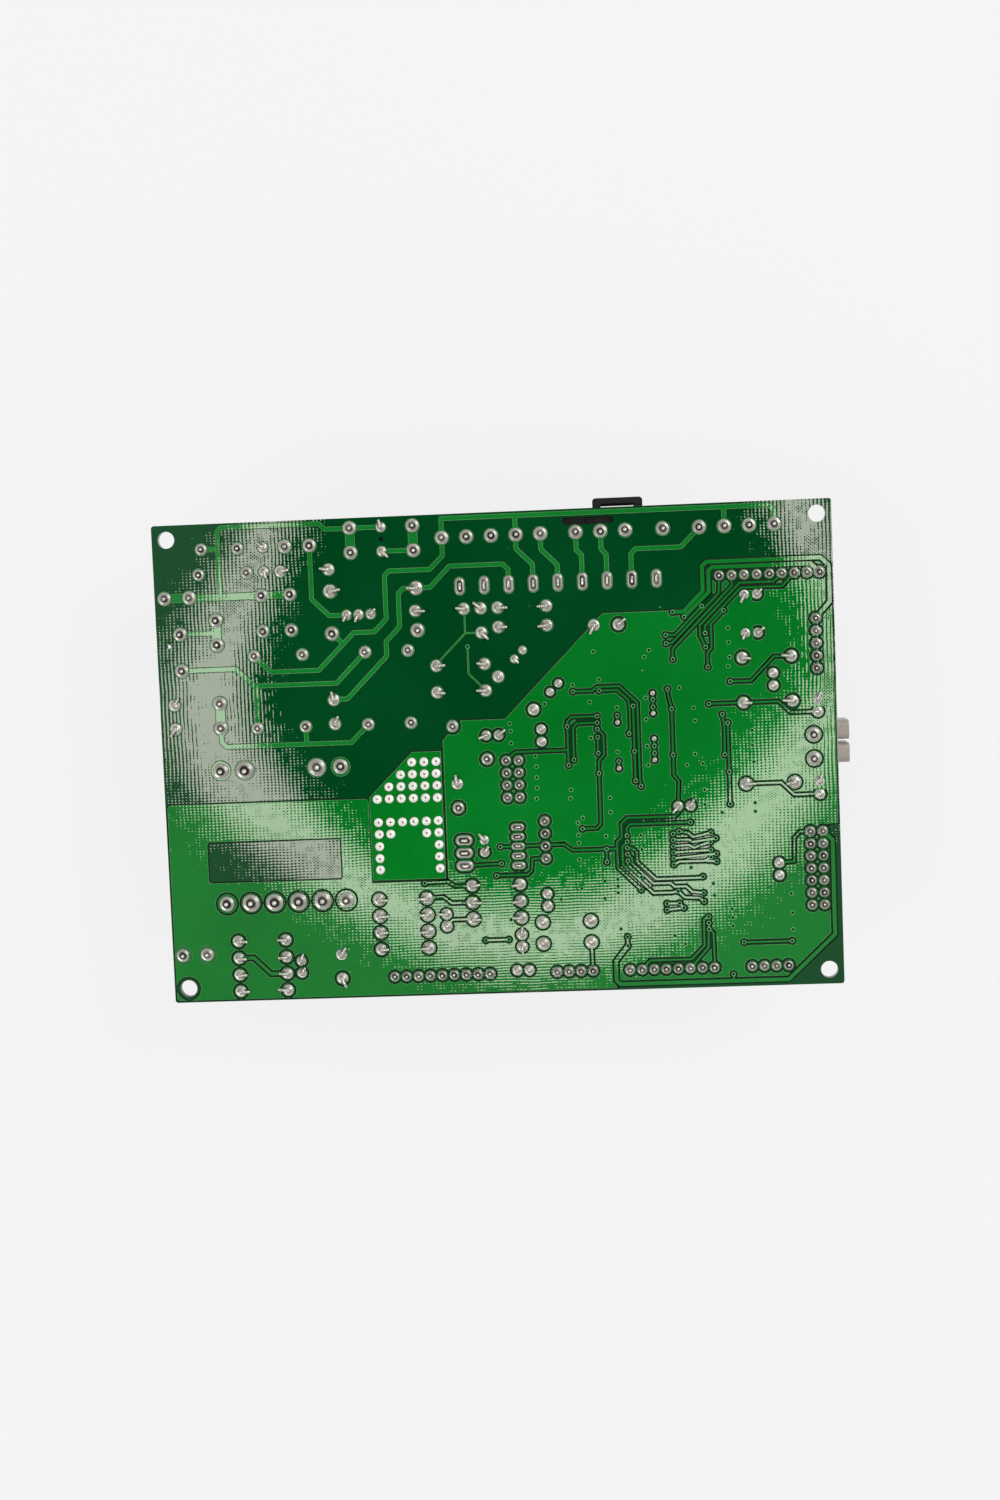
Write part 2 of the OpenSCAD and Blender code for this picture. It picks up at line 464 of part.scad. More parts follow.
module ground_copper() {
    color([0.05, 0.5, 0.15]) place() translate([0, 0, z_sol]) linear_extrude(copper_t)
        offset(delta = 0.14) offset(delta = -0.15) difference() {
            ground_outline2();
            offset(delta = copper_gap) signal2();
            difference() {
                lands2(copper_gap);
                plain_lands2(copper_gap);
            }
            fixing_holes2(hole_d + 2 * hole_clear);
            translate([22.5, 29.45]) rounded2(28.2, 8.7, 0.6);
        }
}

module heat_copper() {
    color([0.05, 0.5, 0.15]) place() translate([0, 0, z_sol]) linear_extrude(copper_t)
        heat_outline2();
}

// Lands and tracks on the bare part of the board.
module mains_area2() {
    difference() {
        translate([-1, -1]) square([board_w + 2, board_h + 2]);
        offset(delta = 0.2) ground_outline2();
        offset(delta = 0.2) heat_outline2();
    }
}

module mains_copper() {
    color([0.1, 0.52, 0.2]) place() translate([0, 0, z_sol]) linear_extrude(copper_t)
        offset(delta = 0.06) offset(delta = -0.07) intersection() {
            union() {
                for (r = mains_runs) run2(r[0], r[1]);
                lands2(0);
            }
            mains_area2();
        }
}

// Tracks and lands that sit in gaps of the ground copper.
module signal_copper() {
    color([0.1, 0.5, 0.18]) place() translate([0, 0, z_sol]) linear_extrude(copper_t)
        offset(delta = 0.06) offset(delta = -0.07) difference() {
            union() {
                signal2();
                intersection() {
                    lands2(0);
                    offset(delta = 0.2) ground_outline2();
                }
            }
            difference() {
                plain_lands2(copper_gap);
                offset(delta = 0.05) signal2();
            }
            via_holes2();
        }
}

// One soldered joint: a hollow-sided cone of solder with a blunt tip.
module joint(r) {
    h = joint_rise * r;
    rotate_extrude() polygon([[0, 0], [r, 0], [0.97 * r, 0.14 * h], [0.66 * r, 0.5 * h], [0.48 * r, 0.78 * h],
        [0.34 * r, h], [0, h]]);
}

module joints(points, r) {
    for (p = points) translate([p[0], p[1], z_cu]) joint(r);
}

// A joint round a flat blade: the same cone drawn out along the blade.
module long_joint(r, l, a) {
    h = joint_rise * r;
    rotate([0, 0, a]) {
        for (s = [-1, 1]) translate([s * l / 2, 0, 0]) joint(r);
        translate([-l / 2, 0, 0]) rotate([90, 0, 90]) linear_extrude(l)
            polygon([[-r, 0], [r, 0], [0.97 * r, 0.14 * h], [0.66 * r, 0.5 * h], [0.48 * r, 0.78 * h],
                [0.34 * r, h], [-0.34 * r, h], [-0.48 * r, 0.78 * h], [-0.66 * r, 0.5 * h],
                [-0.97 * r, 0.14 * h]]);
    }
}

module solder_blocks() {
    color([0.78, 0.77, 0.73]) place() joints(block_pins, big_r);
}

module solder_mains() {
    color([0.78, 0.77, 0.73]) place() {
        joints(mains_pins, big_r);
        joints(power_ends, big_r);
        joints(choke_pins, big_r - 0.1);
    }
}

module solder_transformer() {
    color([0.78, 0.77, 0.73]) place() {
        for (p = concat(coil_low_pins, coil_high_pins))
            translate([p[0], p[1], z_cu]) joint(xl_r - (p[0] < 15 || p[0] > 36 ? 0.25 : 0));
    }
}

module solder_resistors() {
    color([0.78, 0.77, 0.73]) place() joints(axial_ends, mid_r);
}

module solder_capacitors() {
    color([0.78, 0.77, 0.73]) place() {
        joints(film_pins, mid_r);
        joints(disc_ends, mid_r);
        joints(post_pins, mid_r);
    }
}

module solder_small() {
    color([0.78, 0.77, 0.73]) place() {
        joints(small_pins, small_r);
        joints([slant_pins[0], slant_pins[3]], mid_r);
        joints([slant_pins[1], slant_pins[2], slant_pins[4], slant_pins[5]], 0.85);
        joints(test_lands, 0.5);
    }
}

module solder_headers() {
    color([0.78, 0.77, 0.73]) place() {
        joints(side_pins, small_r);
        joints(low_pins, small_r);
    }
}

module solder_blades() {
    color([0.78, 0.77, 0.73]) place() {
        for (p = module_pins) translate([p[0], p[1], z_cu]) long_joint(1, 1.7, 90);
        for (p = regulator_pins) translate([p[0], p[1], z_cu]) long_joint(1.1, 1.4, 0);
        for (p = switcher_pins) translate([p[0], p[1], z_cu]) long_joint(0.75, 1.3, 0);
    }
}

// Low solder domes that carry heat through the board.
module solder_dots() {
    r = dot_d / 2;
    color([0.78, 0.77, 0.73]) place() {
        for (d = dot_full, i = [0:d[1] - 1]) dot(57.1 - i * dot_pitch, d[0]);
        for (d = dot_ends, i = [0:d[1] - 1]) {
            dot(57.1 - i * dot_pitch, d[0]);
            dot(57.1 - (5 - i) * dot_pitch, d[0]);
        }
    }
}

module dot(x, y) {
    r = dot_d / 2;
    translate([x, y, z_cu]) rotate_extrude() polygon([[0, 0], [r, 0], [0.94 * r, 0.16], [0.6 * r, 0.34],
        [0.2 * r, 0.38], [0, 0.38]]);
}

// Leads that run from a part's underside, through the board, to its joint.
module legs(points, d, drop) {
    for (p = points) translate([p[0], p[1], comp_h - drop]) cylinder(d = d, h = z_sol - comp_h + drop);
}

axial_z = 1.7;

module axial_legs(p, q, body_l, z) {
    l = norm(q - p);
    a = atan2(q[1] - p[1], q[0] - p[0]);
    legs([p, q], lead_d, z + lead_d / 2);
    translate([p[0], p[1], comp_h - z]) rotate([0, 0, a]) {
        rotate([0, 90, 0]) cylinder(d = lead_d - 0.1, h = (l - body_l) / 2);
        translate([l, 0, 0]) rotate([0, -90, 0]) cylinder(d = lead_d - 0.1, h = (l - body_l) / 2);
    }
}

module axial_body(p, q, body_l, d, z) {
    l = norm(q - p);
    a = atan2(q[1] - p[1], q[0] - p[0]);
    translate([p[0], p[1], comp_h - z]) rotate([0, 0, a]) translate([(l - body_l) / 2, 0, 0])
        rotate([0, 90, 0]) rotate_extrude() polygon([[0, 0], [d / 2 - 0.25, 0], [d / 2, 0.3],
            [d / 2, 1.4], [d / 2 - 0.2, 1.8], [d / 2 - 0.2, body_l - 1.8], [d / 2, body_l - 1.4],
            [d / 2, body_l - 0.3], [d / 2 - 0.25, body_l], [0, body_l]]);
}

slant_axial = [[60.9, 56.25], [67.8, 49.2]];

module axial_leads() {
    color([0.75, 0.75, 0.72]) place() {
        for (p = axials_10) axial_legs(p, [p[0] + 10, p[1]], 6.3, axial_z);
        axial_legs(slant_axial[0], slant_axial[1], 6.3, axial_z);
        for (p = power_axials) axial_legs(p, [p[0] + 17.8, p[1]], 12, axial_z + 0.9);
    }
}

module resistor_bodies() {
    color([0.72, 0.6, 0.42]) place() {
        for (i = [0:len(axials_10) - 1]) if (i < 19 || i > 21)
            axial_body(axials_10[i], axials_10[i] + [10, 0], 6.3, 2.4, axial_z);
    }
}

module diode_bodies() {
    color([0.1, 0.1, 0.1]) place() {
        for (i = [19:len(axials_10) - 1]) if (i < 22)
            translate([axials_10[i][0] + 1.85, axials_10[i][1], comp_h - axial_z]) rotate([0, 90, 0])
                cylinder(d = 2.5, h = 6.3);
        axial_body(slant_axial[0], slant_axial[1], 6.3, 2.4, axial_z);
    }
}

module power_resistors() {
    color([0.55, 0.62, 0.55]) place() {
        for (p = power_axials) axial_body(p, p + [17.8, 0], 12, 4.4, axial_z + 0.9);
    }
}

// Coated disc or block part between two leads.
module radial_body(p, q, w, t, h, lift = 0.8) {
    a = atan2(q[1] - p[1], q[0] - p[0]);
    r = min(w, h) / 2;
    translate([(p[0] + q[0]) / 2, (p[1] + q[1]) / 2, comp_h - lift]) rotate([0, 0, a])
        translate([0, t / 2, 0]) rotate([90, 0, 0]) mirror([0, 1, 0]) linear_extrude(t) {
            translate([0, h - r]) circle(r);
            translate([-w / 2, 0]) square([w, h - r]);
        }
}

module film_capacitors() {
    color([0.75, 0.62, 0.15]) place() {
        for (x = film_xs) block(x - film_w / 2, x + film_w / 2, film_low, film_top + film_edge,
            comp_h - 0.5 - film_h, comp_h - 0.5);
    }
}

module film_leads() {
    color([0.75, 0.75, 0.72]) place() legs(film_pins, lead_d, 0.5);
}

module disc_capacitors() {
    color([0.2, 0.35, 0.62]) place() {
        for (i = [0, 1, 2, 3, 5]) radial_body(disc_ends[2 * i], disc_ends[2 * i + 1], 7, 2.4, 7);
        radial_body(spark_pins[0], spark_pins[1], 7, 2.4, 7);
        radial_body(trim_pins[0], trim_pins[1], 7, 2.4, 7);
        radial_body(post_pins[0], post_pins[1], 7, 2.4, 7);
        radial_body(post_pins[2], post_pins[3], 7, 2.4, 7);
    }
}

module disc_leads() {
    color([0.75, 0.75, 0.72]) place() {
        for (i = [0, 1, 2, 3, 5]) legs([disc_ends[2 * i], disc_ends[2 * i + 1]], lead_d, 0.8);
        legs(concat(spark_pins, trim_pins), lead_d, 0.8);
        legs([post_pins[0], post_pins[1], post_pins[2], post_pins[3]], lead_d, 0.8);
    }
}

module electrolytic_capacitor() {
    color([0.08, 0.09, 0.12]) place() under([61.4, 41.75]) translate([0, 0, 0.5])
        rotate_extrude() polygon([[0, 0], [4.8, 0], [5, 0.3], [5, 1.2], [4.7, 1.6], [5, 2], [5, 15.6],
            [4.7, 16], [0, 16]]);
}

module electrolytic_leads() {
    color([0.75, 0.75, 0.72]) place() legs([disc_ends[8], disc_ends[9]], lead_d, 0.5);
}

module small_capacitors() {
    color([0.85, 0.55, 0.15]) place() {
        for (i = [0:len(pair_ends) / 2 - 1]) radial_body(pair_ends[2 * i], pair_ends[2 * i + 1],
            4.4, 2.2, 4.6);
    }
}

module small_leads() {
    color([0.75, 0.75, 0.72]) place() legs(concat(pair_ends, to92_pins), lead_d, 0.8);
}

module varistor() {
    color([0.12, 0.25, 0.5]) place() radial_body(varistor_pins[0], varistor_pins[1], 11, 4, 11, 1);
}

module mains_leads() {
    color([0.75, 0.75, 0.72]) place() {
        legs(varistor_pins, pin_d, 1);
        legs(coil_pins, pin_d, 1);
        legs(choke_pins, pin_d, 0.4);
    }
}

module line_coil() {
    color([0.35, 0.18, 0.1]) place() under([30.25, 94.7]) translate([0, 0, 1])
        rotate_extrude() polygon([[0, 0], [3.4, 0], [3.4, 1.2], [2.6, 1.2], [2.6, 6.8], [3.4, 6.8],
            [3.4, 8], [0, 8]]);
}

choke_at = [25.3, 81.1];

module choke_base() {
    color([0.12, 0.12, 0.12]) place() under(choke_at) {
        translate([-6.5, -6.5, 0.4]) cube([13, 13, 1.8]);
        translate([-0.5, -3.3, 2.2]) cube([1, 6.6, 12]);
    }
}

module choke_core() {
    color([0.22, 0.22, 0.23]) place() under(choke_at) translate([0, 0, 8.4]) difference() {
        translate([-6.3, -6.3, -2]) cube([12.6, 12.6, 4]);
        translate([-3.2, -3.4, -3]) cube([6.4, 6.8, 6]);
    }
}

module choke_coils() {
    color([0.62, 0.32, 0.14]) place() under(choke_at) for (s = [-1, 1]) difference() {
        translate([s * 4.75 - 3.9, -3.3, 2.2]) cube([7.8, 6.6, 12]);
        translate([s * 4.75 - 1.55, -4, 6.4]) cube([3.1, 8, 4]);
    }
}

// Upright blade terminal on two legs; a is the direction of its width.
module tab(p, a) {
    under(p, a) {
        translate([-0.85, -0.4, 0]) cube([6.9, 0.8, 2]);
        translate([-0.55, -0.4, 2]) cube([6.3, 0.8, 8.2]);
    }
    legs([p, p + [5.1 * cos(a), 5.1 * sin(a)]], pin_d, 0);
}

module blade_terminals() {
    color([0.8, 0.78, 0.7]) place() {
        tab([2.13, 84.9], 0);
        tab([2.13, 10.1], 0);
        tab([41.3, 92.85], 90);
        tab([54.3, 92.85], 90);
    }
}

fuse_z = 6;

module fuse_clips() {
    color([0.8, 0.78, 0.7]) place() {
        legs(clip_pins, pin_d, 0);
        for (y = [77.45, 60.15]) under([12.6, y]) {
            translate([-3.3, -3.2, 0]) cube([6.6, 6.4, 0.5]);
            for (s = [-1, 1]) translate([s * 3 - 0.3, -3.2, 0.5]) cube([0.6, 6.4, 8.5]);
        }
    }
}

module fuse_glass() {
    color([0.85, 0.9, 0.9, 0.4]) place() under([12.6, 68.8]) translate([0, 4.6, fuse_z])
        rotate([90, 0, 0]) difference() {
            cylinder(d = 5, h = 9.2);
            translate([0, 0, -1]) cylinder(d = 4.2, h = 11.2);
        }
}

module fuse_caps() {
    color([0.8, 0.78, 0.72]) place() under([12.6, 68.8]) for (s = [-1, 1])
        translate([0, s > 0 ? 10.6 : -4.6, fuse_z]) rotate([90, 0, 0]) cylinder(d = 5.4, h = 6);
}

module transformer_core() {
    h = comp_h - foot_t;
    color([0.3, 0.3, 0.32]) place() under(transformer_at) translate([0, 0, foot_t]) difference() {
        translate([-core_s / 2, -core_l / 2, 0]) cube([core_s, core_l, h]);
        for (s = [-1, 1]) translate([-core_s, s * core_l / 4 - core_l / 12, core_l / 6])
            cube([2 * core_s, core_l / 6, h - core_l / 3]);
    }
}

module transformer_bobbin() {
    color([0.16, 0.16, 0.17]) place() {
        block(transformer_at[0] - foot_w / 2, transformer_at[0] + foot_w / 2, row_low - foot_edge,
            row_high + foot_edge, comp_h - foot_t, comp_h - 0.6);
        legs(concat(coil_low_pins, coil_high_pins), pin_d, 0.6);
    }
}

// Winding that fills the core's two windows.
module transformer_coil() {
    z0 = foot_t + core_l / 6;
    h = comp_h - foot_t - core_l / 3;
    color([0.75, 0.6, 0.2]) place() under(transformer_at) difference() {
        translate([-core_s / 2 - 8, -core_l / 3 + 0.5, z0 + 0.5]) cube([core_s + 16, 2 * core_l / 3 - 1,
            h - 1]);
        translate([-core_s / 2 - 0.5, -core_l / 6, z0]) cube([core_s + 1, core_l / 3, h]);
    }
}

module regulator() {
    color([0.13, 0.13, 0.14]) place() {
        under([53.5, 29.75]) {
            translate([-3, -5, 0.4]) cube([8.8, 10, 4.3]);
        }
    }
}

module regulator_tab() {
    color([0.72, 0.7, 0.66]) place() {
        difference() {
            block(tab_start, tab_end, 24.75, 34.75, comp_h - 1.5, comp_h - 0.2);
            translate([(tab_start + tab_end) / 2, 29.75, comp_h - 3]) cylinder(d = 3.7, h = 4);
        }
        for (p = regulator_pins) {
            legs([p], pin_d, 2.4);
            under(p) {
                translate([-3, -0.4, 1.9]) cube([3.2, 0.8, 0.5]);
            }
        }
    }
}

module switcher() {
    color([0.13, 0.13, 0.14]) place() {
        block(71.5, 75.9, 25.7, 35.9, comp_h - 15, comp_h - 1.2);
    }
}

module switcher_leads() {
    color([0.75, 0.75, 0.72]) place() legs(switcher_pins, lead_d, 1.2);
}

opto_at = [76.92, 65.3];

module optocoupler() {
    color([0.9, 0.9, 0.86]) place() under(opto_at, 45) translate([-4.6, -4.1, 0]) cube([9.2, 8.2, 3.8]);
}

// Legs that leave the sides of the slanted body and turn down to the board.
module optocoupler_legs() {
    color([0.75, 0.75, 0.72]) place() {
        legs(slant_pins, lead_d, 2.2);
        under(opto_at, 45) for (x = [-3.73, 1.22, 3.7], s = [-1, 1])
            translate([x - 0.3, s > 0 ? 4.1 : -5, 1.6]) cube([0.6, 0.9, 0.5]);
    }
}

module transistor() {
    color([0.12, 0.12, 0.12]) place() under([42.4, 80.6]) translate([0, 0, 0.8]) linear_extrude(4.6)
        intersection() {
            circle(2.4);
            translate([-3, -1.2]) square([6, 4]);
        }
}

module control_module() {
    color([0.1, 0.1, 0.11]) place() block(60.9, 106.7, 82.3, 88.3, 0, comp_h - 0.6);
}

module module_leads() {
    color([0.75, 0.75, 0.72]) place() legs(module_pins, pin_d, 0.6);
}

// Surface mounted controller and driver chips.
module chips() {
    color([0.12, 0.12, 0.13]) place() {
        block(90, 102, 47, 59, comp_h - 1.6, comp_h - 0.2);
        block(106.2, 112.8, 25.4, 33, comp_h - 2.3, comp_h - 0.2);
        block(100.6, 104.8, 8.5, 14, comp_h - 1.7, comp_h - 0.2);
    }
}

module chip_leads() {
    color([0.78, 0.78, 0.76]) place() {
        for (i = [0:10]) {
            for (s = [0, 1]) block(s ? 102 : 88.8, s ? 103.2 : 90, 48.8 + 0.8 * i, 49.2 + 0.8 * i,
                comp_h - 0.5, comp_h);
            for (s = [0, 1]) block(91.8 + 0.8 * i, 92.2 + 0.8 * i, s ? 59 : 45.8, s ? 60.2 : 47,
                comp_h - 0.5, comp_h);
        }
        for (i = [0:5], s = [0, 1]) block(s ? 112.8 : 104.9, s ? 114.1 : 106.2, 25.9 + 1.27 * i,
            26.3 + 1.27 * i, comp_h - 0.6, comp_h);
        for (i = [0:3], s = [0, 1]) block(s ? 104.8 : 99.6, s ? 105.8 : 100.6, 9 + 1.27 * i,
            9.4 + 1.27 * i, comp_h - 0.5, comp_h);
    }
}

// Upright connector body: a floor drilled for its contacts and a keyed back wall.
module block_body(x0, x1, pins) {
    difference() {
        union() {
            block(x0 + 0.1, x1 - 0.1, conn_back, board_h - edge_setback, comp_h - 3.2, comp_h);
            block(x0 + 0.1, x1 - 0.1, conn_back, conn_back + 1.2, comp_h - conn_h, comp_h - 3.2);
        }
        for (p = pins) translate([p[0], p[1], comp_h - 5]) cylinder(d = pin_d + 0.1, h = 8);
    }
}

module connector_five() {
    color([0.88, 0.87, 0.82]) place() block_body(56.65, 84.15, top5_pins);
}

// Black block with a latch frame that stands past the board's top edge.
module connector_three() {
    color([0.09, 0.09, 0.1]) place() difference() {
        union() {
            block_body(84.15, 101.8, top3_pins);
            translate([96.55, board_h, comp_h - 6]) linear_extrude(5) {
                translate([0, -0.4]) square([10.3, 0.8 + 2 * latch_out - 2], center = true);
                translate([0, latch_out - 1]) rounded2(10.3, 2, 0.7);
            }
            block(90.15, 90.65, slot_y - 0.55, slot_y + 0.55, comp_h, comp_h + 1);
        }
        block(93.1, 99.9, board_h + 0.05, board_h + 0.75, comp_h - 8, comp_h + 1);
    }
}

module connector_one() {
    color([0.88, 0.87, 0.82]) place() block_body(101.8, 109.3, top1_pins);
}

module connector_four() {
    color([0.88, 0.87, 0.82]) place() block_body(109.3, 132.1, top4_pins);
}

module block_contacts() {
    color([0.8, 0.78, 0.7]) place() legs(block_pins, pin_d, 9.5);
}

// Straight header strip: a plastic bar drilled for its square-set pins.
module strip(x0, x1, y0, y1, pins) {
    difference() {
        block(x0, x1, y0, y1, comp_h - 2.5, comp_h);
        for (p = pins) translate([p[0], p[1], comp_h - 4]) cylinder(d = lead_d + 0.1, h = 6);
    }
}

module header_strips() {
    color([0.9, 0.89, 0.85]) place() {
        strip(115.4, 138.5, 83.8, 86.4, head9_pins);
        strip(134.9, 137.4, 64.2, 77, head5_pins);
        strip(132.5, 137.7, 15.3, 33.2, head14_pins);
        strip(70.4, 75.5, 39.8, 50, head8_pins);
        strip(77.9, 80.5, 26.8, 37.2, head4_pins);
        strip(45.3, 67.9, 2.9, 5.5, low9_pins);
        strip(79.3, 89.4, 2.9, 5.5, low4a_pins);
        strip(94.5, 114.6, 2.9, 5.5, low8_pins);
        strip(119.8, 129.9, 2.9, 5.5, low4b_pins);
    }
}

module header_pins() {
    color([0.8, 0.78, 0.7]) place() legs(concat(side_pins, low_pins), lead_d, 8.5);
}

// Two-way terminal block whose grey noses stand past the right edge.
module terminal_block() {
    color([0.8, 0.78, 0.72]) place() difference() {
        union() {
            block(terminal_start, board_w - edge_setback, 44.4, 54.3, comp_h - 20, comp_h);
            for (y = [46.9, 51.8]) {
                translate([board_w - edge_setback, y, comp_h - 14]) rotate([0, 90, 0]) linear_extrude(1.2)
                    rounded2(9.4, 4.7, 0.9);
                translate([board_w + 0.8, y, comp_h - 14]) rotate([0, 90, 0])
                    linear_extrude(snout_out - 0.8) rounded2(8.6, 4.1, 1.1);
            }
        }
        for (p = terminal_pins) translate([p[0], p[1], comp_h - 6]) cylinder(d = pin_d + 0.1, h = 8);
    }
}

module terminal_contacts() {
    color([0.8, 0.78, 0.7]) place() legs(terminal_pins, pin_d, 6);
}

laminate();
ground_copper();
heat_copper();
mains_copper();
signal_copper();
solder_blocks();
solder_mains();
solder_transformer();
solder_resistors();
solder_capacitors();
solder_small();
solder_headers();
solder_blades();
solder_dots();
axial_leads();
resistor_bodies();
diode_bodies();
power_resistors();
film_capacitors();
film_leads();
disc_capacitors();
disc_leads();
electrolytic_capacitor();
electrolytic_leads();
small_capacitors();
small_leads();
varistor();
mains_leads();
line_coil();
choke_base();
choke_core();
choke_coils();
blade_terminals();
fuse_clips();
fuse_glass();
fuse_caps();
transformer_core();
transformer_bobbin();
transformer_coil();
regulator();
regulator_tab();
switcher();
switcher_leads();
optocoupler();
optocoupler_legs();
transistor();
control_module();
module_leads();
chips();
chip_leads();
connector_five();
connector_three();
connector_one();
connector_four();
block_contacts();
header_strips();
header_pins();
terminal_block();
terminal_contacts();
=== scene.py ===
import bmesh
import bpy
import json
import math
import random
from mathutils import Matrix, Vector


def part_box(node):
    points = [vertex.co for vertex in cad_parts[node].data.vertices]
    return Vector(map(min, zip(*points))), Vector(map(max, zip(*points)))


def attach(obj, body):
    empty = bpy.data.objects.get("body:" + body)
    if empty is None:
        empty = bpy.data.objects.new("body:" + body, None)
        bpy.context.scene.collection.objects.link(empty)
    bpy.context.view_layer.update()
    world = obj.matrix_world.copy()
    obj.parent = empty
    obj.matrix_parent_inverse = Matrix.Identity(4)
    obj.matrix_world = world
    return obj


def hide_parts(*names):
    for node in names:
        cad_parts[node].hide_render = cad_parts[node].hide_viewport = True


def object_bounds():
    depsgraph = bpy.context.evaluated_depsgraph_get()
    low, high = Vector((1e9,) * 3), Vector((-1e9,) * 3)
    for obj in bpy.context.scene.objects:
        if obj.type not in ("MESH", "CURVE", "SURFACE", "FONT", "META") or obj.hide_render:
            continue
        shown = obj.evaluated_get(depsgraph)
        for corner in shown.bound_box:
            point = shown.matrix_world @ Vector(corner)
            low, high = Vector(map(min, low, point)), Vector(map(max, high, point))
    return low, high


# A boiler control board that lies with its soldered side up, towards +Z. Lengths are in metres.
# Places read off the photograph are in millimetres from the board's lower left corner.
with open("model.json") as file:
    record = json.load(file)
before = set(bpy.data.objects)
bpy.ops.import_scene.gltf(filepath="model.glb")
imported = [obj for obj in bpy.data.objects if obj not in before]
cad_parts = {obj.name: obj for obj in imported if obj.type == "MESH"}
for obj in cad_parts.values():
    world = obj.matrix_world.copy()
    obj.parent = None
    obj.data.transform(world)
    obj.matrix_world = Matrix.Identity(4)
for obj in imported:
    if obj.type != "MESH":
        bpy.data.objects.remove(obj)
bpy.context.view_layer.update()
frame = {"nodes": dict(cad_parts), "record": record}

nodes = frame["nodes"]
slots = {s["node"]: s["material_slot"] for s in frame["record"]["subparts"]}
scene = bpy.context.scene
random.seed(7)

MM = 0.001
MICRON = 0.000001
GRID = 1e7  # points in the same ten-millionth of a metre count as one
board_low, board_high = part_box("laminate")
under_z, mask_z = board_low.z, board_high.z
copper_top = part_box("ground_copper")[1].z


def on_board(x, y):
    """World x and y of a place in millimetres from the board's lower left corner."""
    return board_low.x + x * MM, board_low.y + y * MM


# ---------------------------------------------------------------- nodes of a material
NOISE_LOW, NOISE_HIGH = 0.3, 0.7  # nearly all values of a noise lie between these


def srgb(r, g, b):
    """Linear colour from the 0 to 255 values that a screen shows."""
    out = []
    for c in (r, g, b):
        c = c / 255.0
        out.append(c / 12.92 if c <= 0.04045 else ((c + 0.055) / 1.055) ** 2.4)
    return tuple(out)


def darker(colour, share):
    """A colour brought down to a share of its brightness."""
    return tuple(c * share for c in colour)


class Tree:
    """A small helper that adds nodes to one new material."""

    def __init__(self, name):
        self.mat = bpy.data.materials.new(name)
        self.mat.use_nodes = True
        self.t = self.mat.node_tree
        self.bsdf = self.t.nodes["Principled BSDF"]
        self.coord = self.t.nodes.new("ShaderNodeTexCoord")

    def add(self, kind, **props):
        n = self.t.nodes.new(kind)
        for k, v in props.items():
            setattr(n, k, v)
        return n

    def link(self, a, b):
        self.t.links.new(a, b)

    def feed(self, socket, value):
        """Gives a socket a number, a colour or the output of another node."""
        if isinstance(value, (int, float)):
            socket.default_value = value
        elif isinstance(value, tuple):
            socket.default_value = value if len(value) == 4 else value + (1.0,)
        else:
            self.link(value, socket)

    def noise(self, scale, detail=3.0):
        n = self.add("ShaderNodeTexNoise")
        n.inputs["Scale"].default_value = scale
        n.inputs["Detail"].default_value = detail
        n.inputs["Roughness"].default_value = 0.5
        self.link(self.coord.outputs["Object"], n.inputs["Vector"])
        return n.outputs["Fac"]

    def math(self, op, a, b=None):
        n = self.add("ShaderNodeMath", operation=op)
        self.feed(n.inputs[0], a)
        if b is not None:
            self.feed(n.inputs[1], b)
        return n.outputs[0]

    def remap(self, value, lo, hi, to_lo, to_hi):
        n = self.add("ShaderNodeMapRange")
        n.inputs["From Min"].default_value = lo
        n.inputs["From Max"].default_value = hi
        n.inputs["To Min"].default_value = to_lo
        n.inputs["To Max"].default_value = to_hi
        self.link(value, n.inputs["Value"])
        return n.outputs["Result"]

    def patchy(self, scale, to_lo, to_hi, detail=3.0):
        """A noise stretched to run from one value to another."""
        return self.remap(self.noise(scale, detail), NOISE_LOW, NOISE_HIGH, to_lo, to_hi)

    def mix(self, fac, a, b):
        n = self.add("ShaderNodeMix", data_type="RGBA")
        for socket, value in ((n.inputs[0], fac), (n.inputs[6], a), (n.inputs[7], b)):
            self.feed(socket, value)
        return n.outputs[2]

    def split(self, vector):
        """The X, Y and Z of a vector."""
        n = self.add("ShaderNodeSeparateXYZ")
        self.link(vector, n.inputs[0])
        return n.outputs

    def xyz(self):
        return self.split(self.coord.outputs["Object"])

    def bump(self, height, distance, radius=0.0):
        """Relief from a height; radius also rounds the edges in the shading."""
        n = self.add("ShaderNodeBump")
        n.inputs["Distance"].default_value = distance
        n.inputs["Strength"].default_value = 1.0
        self.link(height, n.inputs["Height"])
        if radius:
            b = self.add("ShaderNodeBevel", samples=6)
            b.inputs["Radius"].default_value = radius
            self.link(b.outputs[0], n.inputs["Normal"])
        self.link(n.outputs[0], self.bsdf.inputs["Normal"])

    def set(self, **values):
        for k, v in values.items():
            self.feed(self.bsdf.inputs[k.replace("_", " ")], v)

    def surface(self, output):
        self.link(output, self.t.nodes["Material Output"].inputs["Surface"])


# ---------------------------------------------------------------- materials
CLOTH_PITCH = {"X": 0.78 * MM, "Y": 0.6 * MM}  # from strand to strand of the glass cloth
CLOTH_WANDER = 0.6 * MM                        # how far a strand strays from its line
SWELL = 30.0                                   # slow rise and fall of the mask, in micrometres
DUST = srgb(150, 190, 150)
RUST = (0.1, 0.055, 0.03)
BARE = (0.2, 0.15, 0.1)                        # what shows where paint is worn


